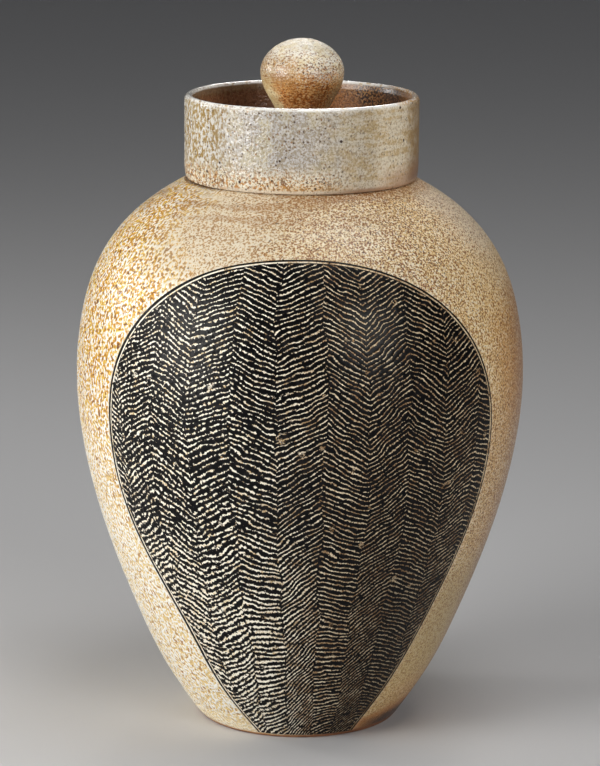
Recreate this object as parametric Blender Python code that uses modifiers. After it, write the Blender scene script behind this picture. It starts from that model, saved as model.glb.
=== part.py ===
"""Lidded stoneware canister: a thrown ovoid jar with a straight collar, and an
inset lid with a mushroom knob.

Four thrown forms make two loose pieces.  The collar is luted to the jar body,
and the knob is luted to the lid disc.  The lid lies on a gallery (an inner
ledge) inside the collar and lifts straight up.

Units are metres, +Z is up, the origin is the centre of the foot on the table,
and the Z axis is the wheel axis that every form is turned about.
"""

import math

import bpy
import numpy as np

# --------------------------------------------------------------------------
# Driving dimensions (metres)
# --------------------------------------------------------------------------
MM = 0.001

TOTAL_HEIGHT = 380.0 * MM        # table to the top of the knob

# Potter's gauge of the jar's outer wall: (height, radius).
WALL_GAUGE = (
    (0.0 * MM, 56.3 * MM),       # foot
    (30.0 * MM, 75.7 * MM),
    (60.0 * MM, 89.9 * MM),
    (90.0 * MM, 101.8 * MM),
    (120.0 * MM, 111.8 * MM),
    (155.0 * MM, 120.1 * MM),
    (195.0 * MM, 123.9 * MM),    # belly
    (225.0 * MM, 121.4 * MM),
    (250.0 * MM, 114.9 * MM),
    (270.0 * MM, 104.2 * MM),    # shoulder
    (285.0 * MM, 90.8 * MM),
    (296.0 * MM, 76.2 * MM),
    (304.0 * MM, 62.6 * MM),     # seat of the collar
)

# Jar body
WALL_LOW = 8.0 * MM              # wall thickness above the foot
WALL_HIGH = 6.5 * MM             # wall thickness at the shoulder
FLOOR_TOP = 13.5 * MM            # inner floor above the table
FLOOR_COVE_W = 24.0 * MM         # width of the cove
FOOT_BEVEL = 1.1 * MM            # wiped edge of the foot
FOOT_RING_R_IN = 45.5 * MM       # inner radius of the trimmed foot ring
FOOT_RECESS = 5.0 * MM           # depth of the trimmed recess
MOUTH_Z = 304.0 * MM             # flat mouth that the collar is luted to
MOUTH_R_OUT = 62.2 * MM
MOUTH_R_IN = 55.0 * MM
LUTE_GAP = 0.3 * MM              # clay joint between two thrown forms

# Collar
RIM_Z = 350.0 * MM
COLLAR_R = 64.1 * MM             # outer radius
RIM_R_IN = 59.4 * MM             # inner radius at the lip
WELL_R_IN = 59.0 * MM            # inner radius just above the ledge
LIP_H = 2.6 * MM                 # height of the rounded lip
COLLAR_ROUND = 9.0 * MM          # height of the rounded lower edge
LEDGE_Z = 321.8 * MM             # top of the gallery ledge
LEDGE_R_IN = 51.5 * MM           # throat radius
LEDGE_T = 6.0 * MM               # thickness of the ledge at its inner edge

# Lid disc
SEAT_GAP = 0.3 * MM              # lid to ledge
LID_R = 57.5 * MM                # leaves 1.5 mm of fired clearance all round
LID_EDGE_T = 4.6 * MM            # thickness at the rim
LID_SEAT_R_IN = 50.5 * MM        # inner edge of the flat that lies on the ledge
LID_CROWN_Z = 331.0 * MM         # flat pad under the knob
LID_PAD_R = 14.0 * MM
LID_THICK = 5.2 * MM             # thickness at the middle
VENT_R = 2.5 * MM                # vent of the hollow knob

# Knob: (height below the top, radius) of the outer side, top to waist.
KNOB_BASE_Z = LID_CROWN_Z + LUTE_GAP
KNOB_R = 22.9 * MM               # widest radius
KNOB_WIDE_Z = 362.5 * MM         # height of the widest place
KNOB_WAIST_R = 13.2 * MM
KNOB_WAIST_Z = 335.2 * MM
KNOB_BASE_R = 13.9 * MM
KNOB_WALL = 6.4 * MM
KNOB_BORE_R = 5.0 * MM           # open throat of the hollow knob

# Facets around each turned form (multiples of four keep X and Y equal)
STEPS_JAR = 48
STEPS_COLLAR = 48
STEPS_LID = 40
STEPS_KNOB = 32


# --------------------------------------------------------------------------
# Curves
# --------------------------------------------------------------------------
def natural_spline(stations):
    """Return f(z) -> (radius, slope) of the natural cubic through stations."""
    z = np.array([s[0] for s in stations])
    r = np.array([s[1] for s in stations])
    n = len(z)
    h = np.diff(z)
    a = np.zeros((n, n))
    b = np.zeros(n)
    a[0, 0] = a[-1, -1] = 1.0
    for i in range(1, n - 1):
        a[i, i - 1] = h[i - 1]
        a[i, i] = 2.0 * (h[i - 1] + h[i])
        a[i, i + 1] = h[i]
        b[i] = 6.0 * ((r[i + 1] - r[i]) / h[i] - (r[i] - r[i - 1]) / h[i - 1])
    m = np.linalg.solve(a, b)

    def f(x):
        i = int(np.clip(np.searchsorted(z, x) - 1, 0, n - 2))
        d = h[i]
        u, v = z[i + 1] - x, x - z[i]
        value = (m[i] * u ** 3 + m[i + 1] * v ** 3) / (6 * d) \
            + (r[i] / d - m[i] * d / 6) * u + (r[i + 1] / d - m[i + 1] * d / 6) * v
        slope = (-m[i] * u ** 2 + m[i + 1] * v ** 2) / (2 * d) \
            - (r[i] / d - m[i] * d / 6) + (r[i + 1] / d - m[i + 1] * d / 6)
        return value, slope

    return f


WALL = natural_spline(WALL_GAUGE)


def even_heights(z0, z1, count):
    """Heights from z0 to z1 that are evenly spaced along the wall's arc."""
    zs = np.linspace(z0, z1, 400)
    rs = np.array([WALL(z)[0] for z in zs])
    s = np.concatenate([[0.0], np.cumsum(np.hypot(np.diff(zs), np.diff(rs)))])
    return np.interp(np.linspace(0.0, s[-1], count), s, zs)


def wall_thickness(z):
    t = min(max(z / WALL_GAUGE[-1][0], 0.0), 1.0)
    return WALL_LOW + (WALL_HIGH - WALL_LOW) * t


def inner_wall_point(z):
    """The point of the inner wall that faces the outer wall at height z."""
    r, slope = WALL(z)
    length = math.hypot(1.0, slope)
    t = wall_thickness(z)
    return r - t / length, z + t * slope / length


# --------------------------------------------------------------------------
# Profiles, as (radius, height) pairs that run down the outer side
# --------------------------------------------------------------------------
def jar_body_profile():
    # inner wall, from the cove up to just under the mouth
    inner = [inner_wall_point(z) for z in even_heights(24.6 * MM, 299.0 * MM, 14)]
    inner = [p for p in inner if p[0] > MOUTH_R_IN + 2.0 * MM]
    # cove: a curve that leaves the flat floor and meets the wall in line
    (r_c, z_c), (r_d, z_d) = inner[0], inner[1]
    knee = r_c - (z_c - FLOOR_TOP) * (r_d - r_c) / (z_d - z_c)
    pts = [(0.0, FLOOR_TOP + 0.4 * MM)]
    for k in range(4):
        t = k / 4.0
        pts.append(((1 - t) ** 2 * (r_c - FLOOR_COVE_W) + 2 * t * (1 - t) * knee + t * t * r_c,
                    (1 - t * t) * FLOOR_TOP + t * t * z_c))
    pts += inner
    # mouth
    pts += [(MOUTH_R_IN + 0.8 * MM, MOUTH_Z - 5.5 * MM),
            (MOUTH_R_IN, MOUTH_Z - 2.5 * MM),
            (MOUTH_R_IN, MOUTH_Z),
            (MOUTH_R_OUT, MOUTH_Z)]
    # outer wall, down to the foot
    for z in even_heights(303.2 * MM, 2.6 * MM, 17):
        pts.append((WALL(z)[0], z))
    # wiped foot edge, standing ring, trimmed recess
    foot_r = WALL(0.0)[0]
    pts += [(foot_r + 0.2 * MM, FOOT_BEVEL),
            (foot_r - 0.5 * MM, 0.3 * MM),
            (foot_r - 1.3 * MM, 0.0),
            (FOOT_RING_R_IN, 0.0),
            (FOOT_RING_R_IN - 1.6 * MM, FOOT_RECESS - 1.2 * MM),
            (FOOT_RING_R_IN - 4.5 * MM, FOOT_RECESS),
            (0.0, FOOT_RECESS + 0.6 * MM)]
    return pts, False


def collar_profile():
    mid = 0.5 * (COLLAR_R + RIM_R_IN)
    half = 0.5 * (COLLAR_R - RIM_R_IN)
    pts = []
    for k in range(5):                       # rounded lip, inside to outside
        a = math.pi * (1.0 - k / 4.0)
        pts.append((mid + half * math.cos(a),
                    RIM_Z - LIP_H + LIP_H * math.sin(a)))
    base = MOUTH_Z + LUTE_GAP
    pts.append((COLLAR_R, base + 0.5 * (RIM_Z - base)))
    for k in range(4):                       # rounded lower edge
        a = math.radians(30.0 * k)
        pts.append((MOUTH_R_OUT + (COLLAR_R - MOUTH_R_OUT) * math.cos(a) ** 0.8 if k < 3 else MOUTH_R_OUT,
                    base + COLLAR_ROUND * (1.0 - math.sin(a))))
    pts += [(MOUTH_R_IN, base),
            (MOUTH_R_IN, base + 3.0 * MM),
            (LEDGE_R_IN + 1.2 * MM, LEDGE_Z - LEDGE_T - 1.5 * MM),
            (LEDGE_R_IN, LEDGE_Z - LEDGE_T + 1.0 * MM),
            (LEDGE_R_IN, LEDGE_Z - 0.8 * MM),
            (LEDGE_R_IN + 0.8 * MM, LEDGE_Z),
            (WELL_R_IN - 0.9 * MM, LEDGE_Z),
            (WELL_R_IN, LEDGE_Z + 0.9 * MM)]
    return pts, True


def lid_disc_profile():
    seat = LEDGE_Z + SEAT_GAP
    top = seat + LID_EDGE_T
    pts = [(VENT_R, LID_CROWN_Z), (LID_PAD_R, LID_CROWN_Z)]
    for k in range(1, 5):                    # shallow crown, falling to the rim
        t = k / 5.0
        r = LID_PAD_R + (LID_R - 1.5 * MM - LID_PAD_R) * t
        pts.append((r, LID_CROWN_Z - (LID_CROWN_Z - top) * (t ** 1.7)))
    pts += [(LID_R - 1.2 * MM, top),
            (LID_R - 0.2 * MM, top - 0.9 * MM),
            (LID_R, top - 2.0 * MM),
            (LID_R, seat + 1.2 * MM),
            (LID_R - 0.9 * MM, seat),
            (LID_SEAT_R_IN, seat),
            (LID_SEAT_R_IN - 2.5 * MM, seat + 0.6 * MM)]
    under = LID_CROWN_Z - LID_THICK
    for k in range(1, 4):                    # hollowed underside
        t = k / 3.0
        r = (LID_SEAT_R_IN - 2.5 * MM) * (1.0 - t) + (VENT_R + 6.0 * MM) * t
        pts.append((r, seat + 0.6 * MM + (under - seat - 0.6 * MM) * math.sin(0.5 * math.pi * t)))
    pts.append((VENT_R, under))
    return pts, True


def knob_side(t):
    """Outer side of the knob: t = 0 at the top centre, 1 at the waist."""
    split = 0.5
    if t <= split:                           # domed top
        a = 0.5 * math.pi * t / split
        rise = TOTAL_HEIGHT - KNOB_WIDE_Z
        return (KNOB_R * math.sin(a),
                KNOB_WIDE_Z + rise * math.cos(a) ** 1.10 if a < 0.5 * math.pi else KNOB_WIDE_Z)
    u = (t - split) / (1.0 - split)          # cone that draws in to the waist
    z = KNOB_WIDE_Z - (KNOB_WIDE_Z - KNOB_WAIST_Z) * u
    swell = 0.5 * (1.0 + math.cos(math.pi * u ** 1.12))
    return KNOB_WAIST_R + (KNOB_R - KNOB_WAIST_R) * swell, z


def knob_profile():
    pts = [(0.0, TOTAL_HEIGHT)]
    for k in range(1, 15):
        pts.append(knob_side(k / 14.0))
    pts += [(KNOB_WAIST_R + 0.2 * MM, KNOB_WAIST_Z - 1.6 * MM),
            (KNOB_BASE_R - 0.3 * MM, KNOB_BASE_Z + 0.9 * MM),
            (KNOB_BASE_R, KNOB_BASE_Z),
            (KNOB_BORE_R, KNOB_BASE_Z),
            (KNOB_BORE_R, KNOB_WAIST_Z + 3.0 * MM)]
    for t in (0.80, 0.66, 0.52, 0.40, 0.28):  # thrown hollow inside
        r, z = knob_side(t)
        pts.append((r - KNOB_WALL, min(z, TOTAL_HEIGHT - KNOB_WALL - 2.0 * MM)))
    pts.append((0.0, TOTAL_HEIGHT - KNOB_WALL - 0.5 * MM))
    return pts, False


# --------------------------------------------------------------------------
# Building
# --------------------------------------------------------------------------
def clear_scene():
    for obj in list(bpy.data.objects):
        bpy.data.objects.remove(obj, do_unlink=True)
    for coll in list(bpy.data.collections):
        bpy.data.collections.remove(coll)


def make_material(name, color, roughness, coat=0.0):
    mat = bpy.data.materials.new(name)
    mat.use_nodes = True
    shader = mat.node_tree.nodes["Principled BSDF"]
    shader.inputs["Base Color"].default_value = (*color, 1.0)
    shader.inputs["Roughness"].default_value = roughness
    shader.inputs["Metallic"].default_value = 0.0
    shader.inputs["Coat Weight"].default_value = coat
    mat.diffuse_color = (*color, 1.0)
    return mat


def turned(name, profile, steps, material, collection, parent=None, origin_z=0.0):
    """One turned form: its profile, and a Screw modifier about the Z axis."""
    points, closed = profile
    verts = [(r, 0.0, z - origin_z) for r, z in points]
    edges = [(i, i + 1) for i in range(len(verts) - 1)]
    if closed:
        edges.append((len(verts) - 1, 0))
    mesh = bpy.data.meshes.new(name)
    mesh.from_pydata(verts, edges, [])
    mesh.materials.append(material)
    obj = bpy.data.objects.new(name, mesh)
    collection.objects.link(obj)
    obj.location = (0.0, 0.0, origin_z)
    if parent is not None:
        obj.parent = parent
        obj.location = (0.0, 0.0, origin_z - parent.location.z)
    screw = obj.modifiers.new("Turn on the wheel", 'SCREW')
    screw.axis = 'Z'
    screw.angle = 2.0 * math.pi
    screw.screw_offset = 0.0
    screw.iterations = 1
    screw.steps = steps
    screw.render_steps = steps
    screw.use_merge_vertices = True
    screw.merge_threshold = 0.00005
    screw.use_smooth_shade = True
    screw.use_normal_calculate = False
    return obj


def main():
    clear_scene()
    coll = bpy.data.collections.new("stoneware_canister")
    bpy.context.scene.collection.children.link(coll)

    glaze = make_material("salt_glazed_body", (0.66, 0.55, 0.38), 0.32, 0.3)
    collar_glaze = make_material("salt_glazed_collar", (0.68, 0.62, 0.50), 0.30, 0.3)
    lid_glaze = make_material("flashed_brown_lid", (0.20, 0.11, 0.06), 0.38, 0.2)
    knob_glaze = make_material("salt_glazed_knob", (0.62, 0.50, 0.36), 0.30, 0.3)

    # Fixed: the jar body, and the collar luted to its mouth.
    turned("jar_body", jar_body_profile(), STEPS_JAR, glaze, coll)
    turned("neck_collar", collar_profile(), STEPS_COLLAR, collar_glaze, coll,
           origin_z=MOUTH_Z + LUTE_GAP)

    # Moving: the lid, which lifts along the wheel axis.
    lift = bpy.data.objects.new("lid_lift_axis", None)
    lift.empty_display_type = 'SINGLE_ARROW'
    lift.empty_display_size = 0.08
    lift.location = (0.0, 0.0, LEDGE_Z + SEAT_GAP)
    coll.objects.link(lift)
    turned("lid_disc", lid_disc_profile(), STEPS_LID, lid_glaze, coll,
           parent=lift, origin_z=LEDGE_Z + SEAT_GAP)
    turned("lid_knob", knob_profile(), STEPS_KNOB, knob_glaze, coll,
           parent=lift, origin_z=KNOB_BASE_Z)

    bpy.context.view_layer.update()


main()
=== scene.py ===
import math

import bpy
import numpy as np
from mathutils import Matrix, Vector


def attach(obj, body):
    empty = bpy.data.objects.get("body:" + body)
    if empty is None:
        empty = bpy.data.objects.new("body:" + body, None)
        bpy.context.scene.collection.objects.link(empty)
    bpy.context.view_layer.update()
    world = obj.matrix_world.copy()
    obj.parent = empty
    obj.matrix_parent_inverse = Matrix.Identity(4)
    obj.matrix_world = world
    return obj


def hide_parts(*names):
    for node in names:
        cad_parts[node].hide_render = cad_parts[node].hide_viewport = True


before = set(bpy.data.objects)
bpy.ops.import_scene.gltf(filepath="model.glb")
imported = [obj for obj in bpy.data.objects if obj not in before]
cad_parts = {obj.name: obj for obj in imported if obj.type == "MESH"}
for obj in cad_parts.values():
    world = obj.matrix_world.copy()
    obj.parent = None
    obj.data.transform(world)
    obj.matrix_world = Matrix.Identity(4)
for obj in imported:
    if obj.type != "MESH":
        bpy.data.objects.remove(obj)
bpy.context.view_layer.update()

# ==========================================================================
# The looks of a salt-glazed stoneware canister.  Lengths below are in
# millimetres unless a name says otherwise; meshes are written in metres.
#
#   theta   angle round the pot, 0 at the front (-Y), + towards +X
#   arc     distance up the outer wall, from the table
# ==========================================================================
MM = 0.001

# Outer wall: (height, radius)
WALL_GAUGE = ((0.0, 56.3), (30.0, 75.7), (60.0, 89.9), (90.0, 101.8),
              (120.0, 111.8), (155.0, 120.1), (195.0, 123.9), (225.0, 121.4),
              (250.0, 114.9), (270.0, 104.2), (285.0, 90.8), (296.0, 76.2),
              (304.0, 62.6))
GLAZE_ROOM = 0.34        # the coat's depth, kept inside the fired size
MAX_R = 123.78           # no surface goes past this radius

# Slip panel: (arc, theta in degrees), up the left side, over, down the right
PANEL_OUTLINE = ((-6.0, -18.5), (18.0, -27.6), (45.0, -34.6), (72.0, -39.2),
                 (99.0, -44.4), (125.0, -49.8), (158.0, -54.6),
                 (197.0, -55.8), (216.0, -54.9), (234.0, -52.4),
                 (252.0, -47.6), (272.0, -38.6), (286.0, -27.4),
                 (294.0, -13.0), (295.9, -1.5),
                 (294.4, 11.0), (288.6, 22.4), (275.0, 35.4),
                 (256.0, 45.4), (238.0, 51.2), (215.0, 55.2),
                 (194.0, 56.6), (166.0, 56.4), (134.0, 53.8),
                 (106.0, 50.2), (72.0, 45.4), (43.0, 40.4),
                 (18.0, 35.2), (-6.0, 29.4))
PANEL_FOOT_ARC = 2.6     # the coat stops here, above the wiped foot
HATCH_COLUMN = 11.25     # degrees
HATCH_PITCH = 2.85
HATCH_SLOPE = 0.50       # rise of a stroke along its column's width
LINE_DEPTH = 0.26


# --------------------------------------------------------------------------
# Curves and meshes
# --------------------------------------------------------------------------
def natural_spline(stations):
    """f(x) -> (value, slope) of the natural cubic through the stations, for arrays."""
    x = np.array([s[0] for s in stations], float)
    y = np.array([s[1] for s in stations], float)
    n = len(x)
    h = np.diff(x)
    a = np.zeros((n, n))
    b = np.zeros(n)
    a[0, 0] = a[-1, -1] = 1.0
    for i in range(1, n - 1):
        a[i, i - 1:i + 2] = h[i - 1], 2.0 * (h[i - 1] + h[i]), h[i]
        b[i] = 6.0 * ((y[i + 1] - y[i]) / h[i] - (y[i] - y[i - 1]) / h[i - 1])
    m = np.linalg.solve(a, b)

    def f(t):
        t = np.asarray(t, float)
        i = np.clip(np.searchsorted(x, t) - 1, 0, n - 2)
        d = h[i]
        u, v = x[i + 1] - t, t - x[i]
        value = (m[i] * u ** 3 + m[i + 1] * v ** 3) / (6 * d) \
            + (y[i] / d - m[i] * d / 6) * u + (y[i + 1] / d - m[i + 1] * d / 6) * v
        slope = (-m[i] * u ** 2 + m[i + 1] * v ** 2) / (2 * d) \
            - (y[i] / d - m[i] * d / 6) + (y[i + 1] / d - m[i + 1] * d / 6)
        return value, slope

    return f


WALL = natural_spline(WALL_GAUGE)
_z = np.linspace(0.0, 304.0, 3041)
_r = WALL(_z)[0]
_arc = np.concatenate([[0.0], np.cumsum(np.hypot(np.diff(_z), np.diff(_r)))])
ARC_TOTAL = float(_arc[-1])


def z_at_arc(s):
    return np.interp(s, _arc, _z)


def arc_at_z(z):
    return np.interp(z, _z, _arc)


def smoothstep(x, a, b):
    t = np.clip((np.asarray(x, float) - a) / (b - a), 0.0, 1.0)
    return t * t * (3.0 - 2.0 * t)


def refine(points, step):
    """Points along a polyline, no further than step apart."""
    out = [points[0]]
    for p, q in zip(points[:-1], points[1:]):
        n = max(1, int(math.ceil(math.dist(p, q) / step)))
        out += [tuple(np.array(p) + (np.array(q) - np.array(p)) * k / n) for k in range(1, n + 1)]
    return out


def round_corners(points, radius, steps=4):
    """Replaces each inner corner of a polyline by a small arc-like curve."""
    out = [points[0]]
    for a, b, c in zip(points[:-2], points[1:-1], points[2:]):
        a, b, c = (np.array(v, float) for v in (a, b, c))
        la, lc = np.linalg.norm(a - b), np.linalg.norm(c - b)
        cut = min(radius, 0.42 * la, 0.42 * lc)
        p, q = b + (a - b) * cut / la, b + (c - b) * cut / lc
        for k in range(steps + 1):
            t = k / steps
            out.append(tuple((1 - t) ** 2 * p + 2 * t * (1 - t) * b + t * t * q))
    out.append(points[-1])
    return out


class Lathe:
    """Rings about the Z axis, joined in order into one closed mesh.

    A ring is (radius, height, columns); a ring of radius 0 is one point.
    Rings with the same columns are joined by quads, and a ring with a quarter
    of the columns by flat many-sided faces.  Rows run so that faces point out
    when the profile goes up the outside.
    """

    def __init__(self):
        self.co, self.faces, self.rings, self.face_slot = [], [], [], []
        self.count = 0

    def ring(self, r, z, theta, slot=0, v=0.0):
        if r <= 1e-6:
            pts = np.array([[0.0, 0.0, z]])
            theta = None
        else:
            pts = np.stack([r * np.sin(theta), -r * np.cos(theta),
                            np.full(len(theta), z)], -1)
        self.co.append(pts)
        self.rings.append((self.count, theta, slot, v))
        self.count += len(pts)

    def build(self, name, closed=False, uv_u=None):
        loops, sizes, slots, us, vs = [], [], [], [], []
        pairs = list(zip(self.rings[:-1], self.rings[1:]))
        if closed:
            pairs.append((self.rings[-1], self.rings[0]))

        def u_of(theta, wrap):
            u = (theta + math.pi) / (2 * math.pi)
            if wrap is not None:
                u = np.where(wrap, 1.0, u)
            return uv_u(u) if uv_u else u

        for (ia, ta, _, va), (ib, tb, slot, vb) in pairs:
            if closed and ib == 0:
                vb = 1.0
            if ta is None or tb is None:
                t = tb if ta is None else ta
                n = len(t)
                j = np.arange(n)
                k = (j + 1) % n
                u0, u1 = u_of(t, None), u_of(t[k], k == 0)
                um = 0.5 * (u0 + u1)
                if ta is None:      # point below, ring above
                    f = np.stack([np.full(n, ia), ib + k, ib + j], -1)
                    uu = np.stack([um, u1, u0], -1)
                    vv = np.stack([np.full(n, va), np.full(n, vb), np.full(n, vb)], -1)
                else:
                    f = np.stack([ia + j, ia + k, np.full(n, ib)], -1)
                    uu = np.stack([u0, u1, um], -1)
                    vv = np.stack([np.full(n, va), np.full(n, va), np.full(n, vb)], -1)
            elif len(ta) == len(tb):
                n = len(ta)
                j = np.arange(n)
                k = (j + 1) % n
                f = np.stack([ia + j, ia + k, ib + k, ib + j], -1)
                u0, u1 = u_of(ta, None), u_of(ta[k], k == 0)
                uu = np.stack([u0, u1, u1, u0], -1)
                vv = np.stack([np.full(n, va)] * 2 + [np.full(n, vb)] * 2, -1)
            else:
                fine_first = len(ta) > len(tb)
                tf, tc = (ta, tb) if fine_first else (tb, ta)
                if_, ic = (ia, ib) if fine_first else (ib, ia)
                vf, vc = (va, vb) if fine_first else (vb, va)
                n = len(tc)
                q = len(tf) // n
                j = np.arange(n)
                k = (j + 1) % n
                fine = (q * j[:, None] + np.arange(q + 1)[None, :])
                wrap = fine >= len(tf)
                fine_i = fine % len(tf)
                uf = u_of(tf[fine_i], wrap)
                uc0, uc1 = u_of(tc, None), u_of(tc[k], k == 0)
                if fine_first:
                    f = np.concatenate([if_ + fine_i, (ic + k)[:, None], (ic + j)[:, None]], 1)
                    uu = np.concatenate([uf, uc1[:, None], uc0[:, None]], 1)
                    vv = np.concatenate([np.full(uf.shape, vf), np.full((n, 2), vc)], 1)
                else:
                    f = np.concatenate([(ic + j)[:, None], (ic + k)[:, None], (if_ + fine_i)[:, ::-1]], 1)
                    uu = np.concatenate([uc0[:, None], uc1[:, None], uf[:, ::-1]], 1)
                    vv = np.concatenate([np.full((n, 2), vc), np.full(uf.shape, vf)], 1)
            loops.append(f.ravel())
            us.append(uu.ravel())
            vs.append(vv.ravel())
            sizes.append(np.full(len(f), f.shape[1]))
            slots.append(np.full(len(f), slot))
        return make_mesh(name, np.concatenate(self.co), np.concatenate(loops),
                         np.concatenate(sizes), np.concatenate(slots),
                         np.stack([np.concatenate(us), np.concatenate(vs)], -1))


def make_mesh(name, co, loops, sizes, slots, uv):
    """An object from arrays; co is in millimetres."""
    mesh = bpy.data.meshes.new(name)
    mesh.vertices.add(len(co))
    mesh.vertices.foreach_set("co", (co * MM).astype(np.float32).ravel())
    mesh.loops.add(len(loops))
    mesh.loops.foreach_set("vertex_index", loops.astype(np.int32))
    mesh.polygons.add(len(sizes))
    start = np.concatenate([[0], np.cumsum(sizes)[:-1]])
    mesh.polygons.foreach_set("loop_start", start.astype(np.int32))
    mesh.polygons.foreach_set("material_index", slots.astype(np.int32))
    layer = mesh.uv_layers.new(name="OFBake", do_init=False)
    layer.uv.foreach_set("vector", uv.astype(np.float32).ravel())
    mesh.update(calc_edges=True)
    mesh.validate()
    mesh.shade_smooth()
    obj = bpy.data.objects.new(name, mesh)
    bpy.context.scene.collection.objects.link(obj)
    return obj


def coords(obj):
    co = np.empty(len(obj.data.vertices) * 3, np.float32)
    obj.data.vertices.foreach_get("co", co)
    return co.reshape(-1, 3).astype(float) / MM


def set_coords(obj, co):
    obj.data.vertices.foreach_set("co", (co * MM).astype(np.float32).ravel())
    obj.data.update()


def normals(obj):
    n = np.empty(len(obj.data.vertices) * 3, np.float32)
    obj.data.vertices.foreach_get("normal", n)
    return n.reshape(-1, 3).astype(float)


def set_attribute(obj, name, values):
    a = obj.data.attributes.get(name) or obj.data.attributes.new(name, 'FLOAT', 'POINT')
    a.data.foreach_set("value", np.asarray(values, np.float32))


# --------------------------------------------------------------------------
# Node fields: one description serves a material and, sampled at the vertices
# through a geometry tree, the relief of the mesh
# --------------------------------------------------------------------------
class Val:
    def __init__(self, g, socket):
        self.g, self.socket = g, socket

    def __add__(self, o): return self.g.math('ADD', self, o)
    def __radd__(self, o): return self.g.math('ADD', o, self)
    def __sub__(self, o): return self.g.math('SUBTRACT', self, o)
    def __rsub__(self, o): return self.g.math('SUBTRACT', o, self)
    def __mul__(self, o): return self.g.math('MULTIPLY', self, o)
    def __rmul__(self, o): return self.g.math('MULTIPLY', o, self)
    def __truediv__(self, o): return self.g.math('DIVIDE', self, o)
    def __rtruediv__(self, o): return self.g.math('DIVIDE', o, self)
    def __neg__(self): return self.g.math('MULTIPLY', self, -1.0)
    def abs(self): return self.g.math('ABSOLUTE', self)
    def clamp(self): return self.g.math('MULTIPLY', self, 1.0, clamp=True)


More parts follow.
